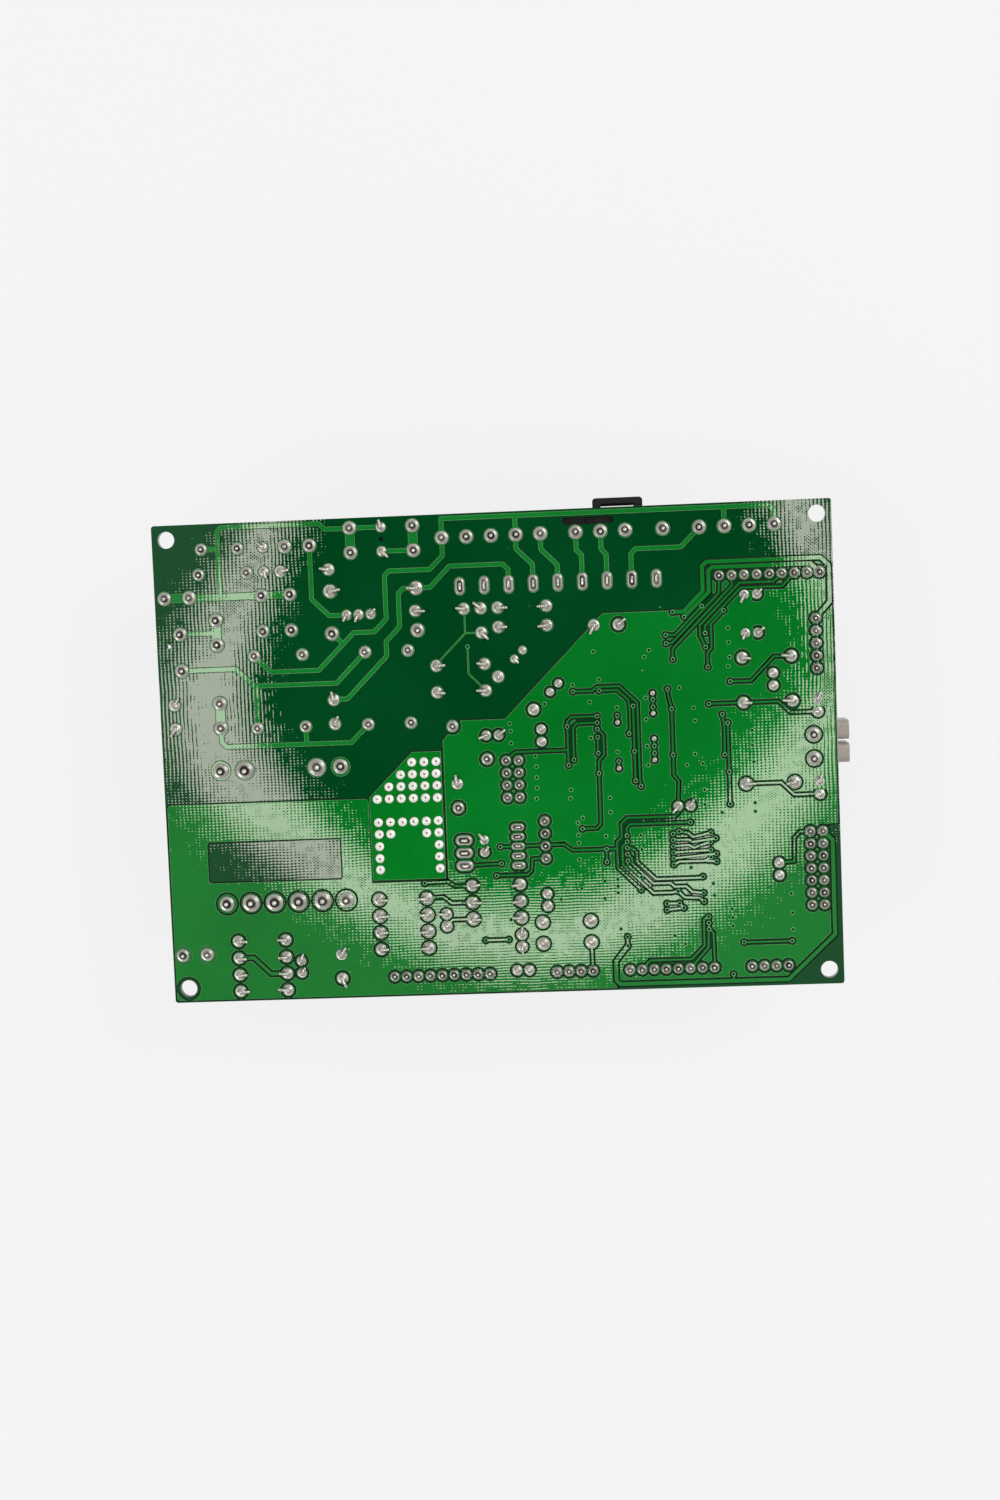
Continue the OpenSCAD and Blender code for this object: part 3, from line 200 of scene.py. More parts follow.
def weave(t, slope, broken):
    """Height of the cloth under the mask, in micrometres; broken says how unevenly it shows."""
    place = t.xyz()
    wander = t.math("MULTIPLY", t.noise(160.0, 2.0), CLOTH_WANDER)
    strength = t.remap(t.noise(650.0), 0.35, 0.65, 1.0 - broken, 1.0 + broken)
    waves = []
    for axis, pitch in CLOTH_PITCH.items():
        rate = 2 * math.pi / pitch
        wave = t.math("SINE", t.math("MULTIPLY", t.math("ADD", place[axis], wander), rate))
        waves.append(t.math("MULTIPLY", wave, slope / rate / MICRON))
    return t.math("MULTIPLY", t.math("ADD", *waves), strength)


def dust(t):
    """Cover of the specks of dust: a dot in about one cell of fourteen."""
    cells = t.add("ShaderNodeTexVoronoi", feature="F1")
    cells.inputs["Scale"].default_value = 260.0
    t.link(t.coord.outputs["Object"], cells.inputs["Vector"])
    dot = t.remap(cells.outputs["Distance"], 0.03, 0.06, 1.0, 0.0)
    chosen = t.math("GREATER_THAN", t.split(cells.outputs["Color"])["X"], 0.93)
    return t.math("MULTIPLY", t.math("MULTIPLY", dot, chosen), 0.5)


def mask_material(name, dark, light, slope, rough=0.035, peel=1.0, spec=0.5, broken=0.8, tilt=0.0,
                  edge=None):
    """Glossy solder mask: clouded green over the cloth, with a slight orange peel and dust.

    slope is the steepness of the cloth and peel the height of the orange peel in micrometres. tilt
    leans the whole face up the board, and edge is the colour of faces that stand upright.
    """
    t = Tree(name)
    col = t.mix(t.patchy(28.0, 0.0, 1.0, detail=4.0), dark, light)
    stain = t.remap(t.noise(700.0, 2.0), 0.62, 0.72, 0.0, 0.18)
    col = t.mix(stain, col, darker(dark, 0.6))
    col = t.mix(dust(t), col, DUST)
    if edge is not None:
        geometry = t.add("ShaderNodeNewGeometry")
        facing = t.math("ABSOLUTE", t.split(geometry.outputs["True Normal"])["Z"])
        col = t.mix(t.remap(facing, 0.3, 0.8, 1.0, 0.0), col, edge)
    height = weave(t, slope, broken)
    if tilt:
        height = t.math("ADD", height, t.math("MULTIPLY", t.xyz()["Y"], tilt / MICRON))
    height = t.math("ADD", height, t.math("MULTIPLY", t.noise(1300.0, 2.0), peel))
    height = t.math("ADD", height, t.math("MULTIPLY", t.noise(60.0, 0.0), SWELL))
    t.set(Base_Color=col, Roughness=rough, Specular_IOR_Level=spec)
    t.bump(height, MICRON)
    return t.mat


def metal_material(name, colour, rough, grain=900.0):
    """Bare metal with an uneven tone and gloss; grain is the scale of the unevenness."""
    t = Tree(name)
    t.set(Base_Color=t.mix(t.patchy(grain, 0.0, 1.0), darker(colour, 0.82), colour), Metallic=1.0)
    t.set(Roughness=t.patchy(grain * 0.6, rough * 0.75, rough * 1.3))
    t.bump(t.noise(grain * 1.4), 10 * MICRON)
    return t.mat


def steel_material(name, colour, pitch):
    """Stacked sheets of core steel, their edges seen as fine lines across the stack."""
    t = Tree(name)
    line = t.math("SINE", t.math("MULTIPLY", t.xyz()["X"], 2 * math.pi / pitch))
    pale = t.math("ADD", t.patchy(900.0, 0.0, 0.6), t.remap(line, -1.0, 0.2, 0.0, 0.4))
    col = t.mix(pale, darker(colour, 0.45), colour)
    rust = t.remap(t.noise(150.0, 4.0), 0.56, 0.7, 0.0, 0.5)
    t.set(Base_Color=t.mix(rust, col, RUST), Metallic=0.8, Roughness=0.48)
    t.bump(t.remap(line, -1.0, 0.2, 0.0, 1.0), 30 * MICRON)
    return t.mat


def tinted_material(name, rough):
    """Paint whose colour the mesh carries, lightly worn."""
    t = Tree(name)
    tint = t.add("ShaderNodeAttribute", attribute_name="tint")
    wear_and_shade = t.remap(t.noise(900.0), 0.35, 0.7, 0.0, 0.3)
    t.set(Base_Color=t.mix(wear_and_shade, tint.outputs["Color"], BARE), Roughness=rough, Metallic=0.0)
    return t.mat


def solder_material(name, clean, painted_shade, rough, metallic=1.0):
    """Bright solder; the mesh gives its painted shade, in the hollow round a lead and at the rim."""
    t = Tree(name)
    shade = t.add("ShaderNodeAttribute", attribute_name="painted_shade").outputs["Fac"]
    col = t.mix(t.patchy(1500.0, 0.0, 1.0), darker(clean, 0.86), clean)
    flux = t.remap(t.noise(120.0, 2.0), 0.45, 0.75, 0.0, 0.3)
    col = t.mix(flux, col, darker(clean, 0.6))
    t.set(Base_Color=t.mix(shade, col, painted_shade), Metallic=metallic)
    grain = t.patchy(700.0, rough * 0.8, rough * 1.25)
    t.set(Roughness=t.math("ADD", grain, t.math("MULTIPLY", shade, 0.12)))
    t.bump(t.noise(2300.0), 8 * MICRON)
    return t.mat


def plastic_material(name, colour, rough, spec=0.5, edge=0.2 * MM):
    """Moulded or dipped plastic; edge is the radius that its shaded edges are rounded by."""
    t = Tree(name)
    col = t.mix(t.patchy(40.0, 0.0, 1.0), darker(colour, 0.86), colour)
    t.set(Base_Color=col, Roughness=rough, Specular_IOR_Level=spec)
    t.bump(t.noise(700.0), 8 * MICRON, edge)
    return t.mat


def glass_material(name):
    """Clear glass with a little uneven gloss."""
    t = Tree(name)
    t.set(Base_Color=(0.9, 0.95, 0.95), Roughness=t.patchy(300.0, 0.02, 0.06))
    t.set(Transmission_Weight=1.0, IOR=1.45)
    return t.mat


PLASTICS = {
    "resistor_coat": dict(colour=(0.46, 0.32, 0.15), rough=0.45),
    "power_coat": dict(colour=(0.26, 0.34, 0.27), rough=0.7),
    "film_case": dict(colour=(0.52, 0.34, 0.03), rough=0.35),
    "blue_coat": dict(colour=(0.04, 0.1, 0.35), rough=0.3),
    "orange_coat": dict(colour=(0.68, 0.26, 0.03), rough=0.35),
    "sleeve": dict(colour=(0.01, 0.012, 0.02), rough=0.3),
    "black_plastic": dict(colour=(0.004, 0.005, 0.007), rough=0.45, spec=0.07),
    "black_gloss": dict(colour=(0.006, 0.006, 0.007), rough=0.36, spec=0.22),
    "module_case": dict(colour=(0.012, 0.012, 0.013), rough=0.6),
    "white_plastic": dict(colour=(0.72, 0.7, 0.6), rough=0.4),
    "grey_plastic": dict(colour=srgb(178, 168, 155), rough=0.3, edge=0.7 * MM),
    "ferrite": dict(colour=(0.03, 0.03, 0.032), rough=0.7),
    "coil_wrap": dict(colour=(0.55, 0.36, 0.06), rough=0.4),
}
M = {name: plastic_material(name, **look) for name, look in PLASTICS.items()}
M["bare_board"] = mask_material("bare_board", srgb(0, 64, 26), srgb(4, 76, 34), 0.0105, rough=0.02,
                                peel=1.2, broken=0.6, edge=srgb(16, 46, 26))
M["masked_copper"] = mask_material("masked_copper", srgb(4, 112, 32), srgb(12, 127, 42), 0.0115, rough=0.018,
                                   peel=0.8, broken=0.55)
M["masked_track"] = mask_material("masked_track", srgb(16, 116, 40), srgb(26, 130, 50), 0.006)
M["solder"] = solder_material("solder", srgb(244, 241, 230), srgb(30, 26, 18), 0.18)
M["tinned"] = metal_material("tinned", srgb(205, 200, 188), 0.32)
M["wound_wire"] = metal_material("wound_wire", (0.5, 0.16, 0.05), 0.35, grain=1500.0)
M["core_steel"] = steel_material("core_steel", (0.24, 0.24, 0.25), 0.7 * MM)
M["fuse_glass"] = glass_material("fuse_glass")

for name, obj in nodes.items():
    obj.data.materials.clear()
    obj.data.materials.append(M[slots[name]])

# the heat island lies a little askew under its rows of solder, so it mirrors another part of the room
nodes["heat_copper"].data.materials[0] = mask_material(
    "masked_island", srgb(4, 116, 30), srgb(12, 130, 40), 0.01, tilt=-0.03)


# ---------------------------------------------------------------- shapes
def turn(n):
    """Angles of n points spread evenly round a circle."""
    return [2 * math.pi * i / n for i in range(n)]


class Shape:
    """Points and faces of one piece, and the values its material reads at the points."""

    def __init__(self):
        self.verts = []
        self.faces = []
        self.values = []

    def circle(self, x, y, z, r, n):
        self.verts.extend((x + r * math.cos(w), y + r * math.sin(w), z) for w in turn(n))

    def bridge(self, base, n, rings, flip=False, closed=False):
        """Faces between neighbouring rings of n points each; base is the number of the first point."""
        for k in range(rings if closed else rings - 1):
            near, far = base + k * n, base + (k + 1) % rings * n
            for i in range(n):
                j = (i + 1) % n
                a, b = (j, i) if flip else (i, j)
                self.faces.append((near + a, near + b, far + b, far + a))

    def cap(self, base, n, flip=False):
        """One face over a ring of n points."""
        ring = tuple(range(base, base + n))
        self.faces.append(ring[::-1] if flip else ring)

    def turned(self, x, y, z, profile, n, flip=False):
        """Rings round an upright axis, each as (radius, height over z); flip where they face down."""
        base = len(self.verts)
        for r, h in profile:
            self.circle(x, y, z + h, r, n)
        self.bridge(base, n, len(profile), flip)
        return base

    def tube(self, path, r, n, closed=False):
        """A round wire along a path of points."""
        base = len(self.verts)
        m = len(path)
        for k, p in enumerate(path):
            a = path[(k - 1) % m] if closed or k else path[0]
            b = path[(k + 1) % m] if closed or k < m - 1 else path[-1]
            d = (b - a).normalized()
            u = d.orthogonal() if abs(d.y) > 0.9 else d.cross(Vector((0, 1, 0))).normalized()
            v = d.cross(u).normalized()
            u = v.cross(d)
            self.verts.extend(tuple(p + u * (r * math.cos(w)) + v * (r * math.sin(w))) for w in turn(n))
        self.bridge(base, n, m, closed=closed)
        if not closed:
            self.cap(base, n, flip=True)
            self.cap(base + (m - 1) * n, n)

    def hoop(self, centre, axis, r, half, n=28):
        """A painted ring round a body that lies along the x or the y axis."""
        base = len(self.verts)
        for off in (-half, half):
            for w in turn(n):
                across, up = r * math.cos(w), r * math.sin(w)
                x, y = (off, across) if axis == 0 else (across, off)
                self.verts.append((centre[0] + x, centre[1] + y, centre[2] + up))
        self.bridge(base, n, 2)


def place(name, mesh, slot_name):
    """Puts a mesh on the board as a piece of its own."""
    o = bpy.data.objects.new(name, mesh)
    scene.collection.objects.link(o)
    mesh.materials.append(M[slot_name])
    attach(o, "root")
    return o


def make(name, shape, slot_name, smooth=True, material=None):
    """A piece from a shape; its own material, where it has one, takes the place of its slot's."""
    mesh = bpy.data.meshes.new(name)
    mesh.from_pydata(shape.verts, [], shape.faces)
    if smooth:
        mesh.polygons.foreach_set("use_smooth", [True] * len(mesh.polygons))
    o = place(name, mesh, slot_name)
    if material is not None:
        mesh.materials[0] = material
    return o


def carry_painted_shade(o, values):
    """Stores how much painted shade the solder has at each point, for the solder's material to read."""
    o.data.attributes.new("painted_shade", "FLOAT", "POINT").data.foreach_set("value", values)


def middle(box):
    """The centre of a box given by its two corners."""
    return Vector([(a + b) / 2 for a, b in zip(*box)])


def islands(obj, test=None):
    """Boxes of an object's separate pieces; a test can pick which faces count."""
    me = obj.data
    parent = {}

    def find(a):
        while parent[a] != a:
            parent[a] = parent[parent[a]]
            a = parent[a]
        return a

    key = [tuple(round(c * GRID) for c in v.co) for v in me.vertices]
    for p in me.polygons:
        if test and not test(p):
            continue
        ks = [key[i] for i in p.vertices]
        for k in ks:
            parent.setdefault(k, k)
        for k in ks[1:]:
            a, b = find(ks[0]), find(k)
            if a != b:
                parent[b] = a
    boxes = {}
    for k in parent:
        b = boxes.setdefault(find(k), [list(k), list(k)])
        for i in range(3):
            b[0][i] = min(b[0][i], k[i])
            b[1][i] = max(b[1][i], k[i])
    return sorted([[c / GRID for c in lo], [c / GRID for c in hi]] for lo, hi in boxes.values())


# ---------------------------------------------------------------- solder joints
# rings of a joint: radius and height as shares of its own radius, then how much painted shade is there
LEAD = [(0.47, 0.35, 1.0), (0.39, 0.44, 1.0), (0.33, 0.53, 1.0), (0.28, 0.62, 0.8), (0.24, 0.68, 0.25),
        (0.17, 0.72, 0.0), (0.09, 0.74, 0.0)]
CONE = [(1.0, 0.0, 1.0), (0.99, 0.05, 0.9), (0.93, 0.11, 0.4), (0.84, 0.16, 0.0), (0.7, 0.21, 0.0),
        (0.61, 0.25, 0.3), (0.55, 0.29, 0.85)] + LEAD
HEAD = [(1.0, 0.0, 1.0), (0.99, 0.05, 1.0), (0.93, 0.11, 0.85), (0.85, 0.16, 0.3), (0.75, 0.2, 0.15),
        (0.66, 0.24, 0.6), (0.57, 0.29, 1.0)] + LEAD
BALL = [(1.0, 0.0, 1.0), (0.995, 0.06, 0.9), (0.95, 0.13, 0.45), (0.86, 0.2, 0.0), (0.74, 0.27, 0.0),
        (0.6, 0.335, 0.0), (0.45, 0.39, 0.05), (0.3, 0.435, 0.2), (0.16, 0.47, 0.3), (0.08, 0.48, 0.3)]
FLAT = [(1.0, 0.0, 0.9), (0.99, 0.07, 0.5), (0.92, 0.12, 0.1), (0.8, 0.15, 0.0), (0.6, 0.19, 0.0),
        (0.4, 0.22, 0.0), (0.27, 0.24, 0.15), (0.2, 0.2, 0.9), (0.12, 0.15, 1.0), (0.06, 0.14, 1.0)]
JOINTS = {
    "solder_blocks": CONE, "solder_mains": CONE, "solder_transformer": CONE,
    "solder_resistors": BALL, "solder_capacitors": CONE, "solder_small": BALL,
    "solder_headers": HEAD, "solder_blades": CONE, "solder_dots": FLAT,
}
JOINT_POINTS = 28
RIM_FIT, RING_FIT = 0.97, 0.965  # a joint stays this much inside its solid, at its rim and above
TIP_SHIFT = 0.12                 # how far the tip may lean off the middle, as a share of the radius
WOBBLE = 0.03                    # how far the outline may stray from round
PHASE = 6.28                     # nearly a full turn, for where it strays
LEAST_SHADE = 0.75                # share of its painted shade that the brightest joint keeps

# a clinched lead end: along its length, up to its top, and thickness, each as a share of the whole
STUB = [(-0.1, 0.6, 0.8), (0.1, 0.95, 1.0), (0.4, 1.0, 1.0), (0.72, 0.92, 1.0), (0.97, 0.8, 1.0),
        (1.0, 0.79, 0.7)]
STUB_POINTS = 10
STUB_RADIUS = 0.3 * MM
STUB_REACH = (0.35 * MM, 0.8 * MM)  # past the joint's rim, least and most
STUB_TOP = 0.62                     # height over the board, as a share of the joint's radius
STUB_BACK = 0.2                     # how far behind the joint's middle it starts, as such a share
STUB_SPREAD = 9                     # degrees either way
STUB_NEAR = 0.6                     # millimetres between a stub's place and the joint it belongs to

# clinched leads: board position in millimetres and the way the end points, in degrees
STUBS = [
    (23.1, 94.7, 140), (23.1, 89.7, -60), (26.55, 89.6, 0), (36.55, 89.6, 180), (36.7, 85.1, 0),
    (54.5, 85.1, 180), (47.75, 97.9, 110), (47.75, 92.9, -50), (39.9, 80.1, -120), (42.4, 80.1, -118),
    (44.9, 80.1, 55), (67.7, 80.4, 130), (67.7, 75.4, -45), (90.9, 76, -125), (95.9, 76, 45),
    (121.8, 81.1, -115), (124.35, 81.1, 40), (121.8, 73.2, -120), (124.35, 73.2, 42),
    (3.05, 62.7, 60), (3.05, 57.7, -120), (36.45, 62.65, 100), (36.45, 57.65, 60),
    (67.8, 54.1, 200), (70.35, 54.1, 35), (61.4, 44.25, 100), (66.5, 32.35, 120), (66.5, 29.8, 60),
    (74.25, 69.7, -40), (136.1, 59.15, 70), (136.1, 42.15, 80), (106.9, 38.05, -120),
    (109.45, 38.05, 60), (27.1, 8.15, 70), (27.1, 5.6, 60), (35.6, 9.2, 60), (35.6, 4.2, -70),
    (73.55, 12.25, 90), (73.55, 9.7, -80), (58, 17.05, 180),
]
# left leads of the axial parts; both leads of each are bent towards one another
AXIALS = [
    (54.2, 80.4), (71.2, 80.4), (71.2, 76.4), (58.05, 68.9), (58.05, 63.4), (14, 12.7), (14, 9.1),
    (14, 5.6), (14, 2.1), (44.05, 20.55), (44.05, 17.05), (44.05, 13.55), (44.05, 10.05),
    (63.6, 22.85), (63.6, 19.35), (63.6, 15.85), (121, 68.2), (121, 58.95), (121, 42.2),
]
AXIAL_SPAN = 10  # millimetres
for ax, ay in AXIALS:
    STUBS.append((ax, ay, 0))
    STUBS.append((ax + AXIAL_SPAN, ay, 180))


def ring_points(cx, cy, z, rx, ry, n, wob=(0, 0, 0, 0)):
    """One ring of a joint; a long joint is a stadium, so its caps stay round."""
    r = min(rx, ry)
    pts = []
    for i in range(n):
        a = 2 * math.pi * (i + 0.5) / n
        k = 1.0 + wob[0] * math.cos(a + wob[1]) + wob[2] * math.cos(2 * a + wob[3])
        ca, sa = math.cos(a), math.sin(a)
        ox = (rx - r) * (1 if ca > 0 else -1)
        oy = (ry - r) * (1 if sa > 0 else -1)
        pts.append((cx + ox + r * k * ca, cy + oy + r * k * sa, z))
    return pts


def shade_at_point(base, radius, angle, bends):
    """Painted shade at a point of a joint: more in a bent lead's shadow, but not at the rim or the tip."""
    for bend in bends:
        off = abs((angle - bend + math.pi) % (2 * math.pi) - math.pi)
        if 0.12 < radius < 0.97 and off < 0.8:
            base = max(base, 0.95 - 0.5 * off)
    return base


def joint(shape, box, profile, bends):
    """A joint with the outline of its box and its tip a little off the middle."""
    (x0, y0, z0), (x1, y1, _) = box
    cx, cy = (x0 + x1) / 2, (y0 + y1) / 2
    rx, ry = (x1 - x0) / 2, (y1 - y0) / 2
    r = min(rx, ry)
    way = random.uniform(0, 2 * math.pi)
    shift = random.uniform(0, TIP_SHIFT) * r
    wob = (random.uniform(0, WOBBLE), random.uniform(0, PHASE), random.uniform(0, WOBBLE),
           random.uniform(0, PHASE))
    wear_and_shade = random.uniform(LEAST_SHADE, 1.0)
    base = len(shape.verts)
    n = JOINT_POINTS
    for k, (radius, height, painted_shade) in enumerate(profile):
        t = height / profile[-1][1]
        f = 1.0 - t * 0.5
        grow_x, grow_y = (rx - r) * f, (ry - r) * f
        w = tuple(v * (1 - t) if i % 2 == 0 else v for i, v in enumerate(wob))
        px, py = cx + shift * t * math.cos(way), cy + shift * t * math.sin(way)
        fit = RIM_FIT if k == 0 else RING_FIT
        shape.verts.extend(ring_points(px, py, z0 + height * r, radius * r * fit + grow_x,
                                       radius * r * fit + grow_y, n, w))
        shape.values.extend(shade_at_point(painted_shade * wear_and_shade, radius, 2 * math.pi * (i + 0.5) / n, bends)
                            for i in range(n))
    shape.bridge(base, n, len(profile))
    shape.cap(base + (len(profile) - 1) * n, n)
    return cx, cy, z0, r


def stub(shape, x, y, z, angle, length, top):
    """A clinched lead end: a short wire that leans out of the joint's top and past its rim."""
    ca, sa = math.cos(angle), math.sin(angle)
    side = Vector((-sa, ca, 0))
    base = len(shape.verts)
    last = len(STUB) - 1
    for k, (t, h, q) in enumerate(STUB):
        a, b = STUB[max(0, k - 1)], STUB[min(last, k + 1)]
        d = Vector((ca * (b[0] - a[0]) * length, sa * (b[0] - a[0]) * length, (b[1] - a[1]) * top))
        up = side.cross(d.normalized()) * -1
        c = Vector((x + ca * t * length, y + sa * t * length, z + h * top))
        for w in turn(STUB_POINTS):
            across, above = q * STUB_RADIUS * math.cos(w), q * STUB_RADIUS * math.sin(w)
            shape.verts.append(tuple(c + side * across + up * above))
            # painted shade: the wire's underside gets nearly the full dark mix, its top little
            shape.values.append(0.1 if math.sin(w) > -0.2 else 0.9)
    shape.bridge(base, STUB_POINTS, len(STUB))
    shape.cap(base, STUB_POINTS, flip=True)
    shape.cap(base + last * STUB_POINTS, STUB_POINTS)


for node_name, profile in JOINTS.items():
    shape = Shape()
    for box in islands(nodes[node_name]):
        x = ((box[0][0] + box[1][0]) / 2 - board_low.x) / MM
        y = ((box[0][1] + box[1][1]) / 2 - board_low.y) / MM
        bends = [math.radians(a + random.uniform(-STUB_SPREAD, STUB_SPREAD)) for sx, sy, a in STUBS
                 if abs(sx - x) < STUB_NEAR and abs(sy - y) < STUB_NEAR]
        cx, cy, z0, r = joint(shape, box, BALL if bends else profile, bends)
        for a in bends:
            back = STUB_BACK * r
            stub(shape, cx - back * math.cos(a), cy - back * math.sin(a), z0, a,
                 back + r + random.uniform(*STUB_REACH), STUB_TOP * r)
    o = make(node_name + "_detail", shape, "solder")
    carry_painted_shade(o, shape.values)
    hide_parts(node_name)
    if node_name == "solder_dots":
        o.data.materials[0] = solder_material("solder_pale", srgb(240, 238, 230), srgb(80, 84, 70), 0.4, 0.35)


# ---------------------------------------------------------------- edges of the copper under the mask
def border(obj):
    """Directed border edges of an object's upward faces, its inside to the left, chained by key."""
    me = obj.data
    co = {}
    edges = set()
    for p in me.polygons:
        if p.normal.z < 0.9:
            continue
        ks = []
        for i in p.vertices:
            v = me.vertices[i].co
            k = (round(v.x * GRID), round(v.y * GRID))
            co[k] = v
            ks.append(k)
        for a, b in zip(ks, ks[1:] + ks[:1]):
            if a != b:
                edges.add((a, b))
    open_edges = sorted(e for e in edges if (e[1], e[0]) not in edges)
    into, out = {}, {}
    for a, b in open_edges:
        d = Vector((co[b].x - co[a].x, co[b].y - co[a].y)).normalized()
        out.setdefault(a, d)
        into.setdefault(b, d)
    return open_edges, co, into, out


def inward(k, into, out):
    """Offset direction at a corner of the border, for a strip of even width."""
    a, b = into.get(k), out.get(k)
    a = a or b
    b = b or a
    n = Vector((-a.y - b.y, a.x + b.x))
    if n.length < 1e-6:
        return Vector((-a.y, a.x))
    n.normalize()
    return n / max(0.5, n.dot(Vector((-a.y, a.x))))


def strip(name, sources, rows, slot_name, material):
    """A ribbon along the border of some copper, given as (node, lift); rows are (distance inward,
    height above the laminate)."""
    shape = Shape()
    for node_name, lift in sources:
        open_edges, co, into, out = border(nodes[node_name])
        index = {}
        for k in sorted({k for edge in open_edges for k in edge}):
            d = inward(k, into, out)
            index[k] = len(shape.verts)
            shape.verts.extend((co[k].x + d.x * dist, co[k].y + d.y * dist, mask_z + h + lift)
                               for dist, h in rows)
        for a, b in open_edges:
            for r in range(len(rows) - 1):
                shape.faces.append((index[a] + r, index[b] + r, index[b] + r + 1, index[a] + r + 1))
    make(name, shape, slot_name, material=material)


# where two ribbons overlap, one lies a hair higher, so their faces never coincide
copper_t = copper_top - mask_z
TRACK_LIFT, SIGNAL_LIFT = 2 * MICRON, MICRON
LIP_ROWS = ((-0.01 * MM, copper_t * 0.9), (0.04 * MM, copper_t + 12 * MICRON),
            (0.08 * MM, copper_t + 3 * MICRON))
GROOVE_START = (-0.01 * MM, 6 * MICRON)
# painted highlight: the lips' pale colour stands for light caught along the copper's edges
lip_highlight = mask_material("mask_lip_highlight", srgb(56, 136, 66), srgb(84, 158, 90), 0.02, rough=0.25)
# painted shade: the grooves' dark colour stands for shade in the channels beside the copper
groove_shade = mask_material("mask_groove_shade", srgb(0, 28, 11), srgb(2, 36, 16), 0.02, rough=0.45, spec=0.1)
strip("copper_lip_highlights", (("ground_copper", 0.0), ("heat_copper", 0.0), ("mains_copper", TRACK_LIFT)), LIP_ROWS,
      "masked_track", lip_highlight)
strip("copper_groove_shade", (("ground_copper", 0.0), ("heat_copper", 0.0), ("signal_copper", SIGNAL_LIFT)),
      ((-0.3 * MM, 4 * MICRON), GROOVE_START), "bare_board", groove_shade)
strip("track_groove_shade", (("mains_copper", TRACK_LIFT),), ((-0.12 * MM, 4 * MICRON), GROOVE_START),
      "bare_board", groove_shade)

# ---------------------------------------------------------------- via lands on the ground copper
RING_VIA = on_board(64.65, 72.6)  # a land with no hole in the solid
VIA_WIDTH = (0.2 * MM, 0.55 * MM)  # holes of the laminate between these widths are vias
VIA_POINTS = 14
LAND = ((0.47 * MM, 0.0), (0.43 * MM, 30 * MICRON), (0.34 * MM, 38 * MICRON), (0.22 * MM, 10 * MICRON))
MOUTH_RADIUS, MOUTH_HEIGHT = 0.29 * MM, 35 * MICRON

vias = [((lo[0] + hi[0]) / 2, (lo[1] + hi[1]) / 2)
        for lo, hi in islands(nodes["laminate"], lambda p: abs(p.normal.z) < 0.1)
        if VIA_WIDTH[0] < hi[0] - lo[0] < VIA_WIDTH[1]]
land_highlights, pit_shades = Shape(), Shape()
for cx, cy in vias + [RING_VIA]:
    # painted highlight: the land's pale colour stands for light caught on its raised ring
    land_highlights.turned(cx, cy, copper_top, LAND, VIA_POINTS)
    # painted shade: a dark disc over the via's hole
    pit_shades.circle(cx, cy, copper_top + MOUTH_HEIGHT, MOUTH_RADIUS, VIA_POINTS)
    pit_shades.cap(len(pit_shades.verts) - VIA_POINTS, VIA_POINTS)
make("via_land_highlights", land_highlights, "masked_track", material=mask_material(
    "mask_land_highlight", srgb(60, 150, 76), srgb(88, 166, 98), 0.01, rough=0.15))
make("via_pit_shade", pit_shades, "bare_board", smooth=False, material=mask_material(
    "mask_pit_shade", srgb(0, 26, 10), srgb(2, 34, 14), 0.02, rough=0.6, spec=0.06))

# ---------------------------------------------------------------- painted rings on the axial parts
PAINTS = [(0.05, 0.02, 0.01), (0.32, 0.02, 0.02), (0.5, 0.16, 0.02), (0.55, 0.42, 0.03), (0.02, 0.16, 0.04),
          (0.02, 0.06, 0.28), (0.13, 0.03, 0.2), (0.012, 0.012, 0.012)]
GOLD = (0.4, 0.26, 0.06)
SILVER = (0.5, 0.5, 0.48)
WAIST = 0.2 * MM       # how much thinner a resistor is between its ends
PAINT_T = 0.03 * MM    # thickness of the paint
RING_HALF = 0.3 * MM   # half the width of a ring
ROUND_BODY = 0.6       # a body nearly as wide as it is long isn't an axial one
paint = tinted_material("paint", 0.4)


def painted(name, sources, slot_name):
    """Rings on the bodies of some nodes, each as (place along the body, radius inset, colour);
    a ring without a colour takes one of the paints by chance."""
    shape = Shape()
    for node_name, rings in sources:
        for box in islands(nodes[node_name]):
            span = [box[1][i] - box[0][i] for i in (0, 1)]
            if min(span) > ROUND_BODY * max(span):
                continue
            axis = 0 if span[0] > span[1] else 1
            for share, inset, colour in rings:
                c = middle(box)
                c[axis] = box[0][axis] + share * span[axis]
                start = len(shape.verts)
                shape.hoop(c, axis, min(span) / 2 - inset + PAINT_T, RING_HALF)
                colour = colour or random.choice(PAINTS)
                shape.values.extend([*colour, 1.0] * (len(shape.verts) - start))
    o = make(name, shape, slot_name, material=paint)
    o.data.attributes.new("tint", "FLOAT_COLOR", "POINT").data.foreach_set("color", shape.values)


painted("code_rings", (
    ("resistor_bodies", ((0.13, 0.0, None), (0.38, WAIST, None), (0.52, WAIST, None), (0.87, 0.0, GOLD))),
    ("power_resistors", ((0.07, 0.0, None), (0.24, WAIST, None), (0.36, WAIST, None), (0.93, 0.0, GOLD))),
), "resistor_coat")
painted("cathode_rings", (("diode_bodies", ((0.84, 0.0, SILVER),)),), "black_gloss")


# ---------------------------------------------------------------- rounded bodies
def nose(v):
    """Whether a point belongs to the terminal block's noses, past the board's right edge."""
    return v.x > board_high.x + 0.4 * MM


def clear_of_board(v):
    """Whether a point hangs well under the board."""
    return v.z < under_z - 0.7 * MM


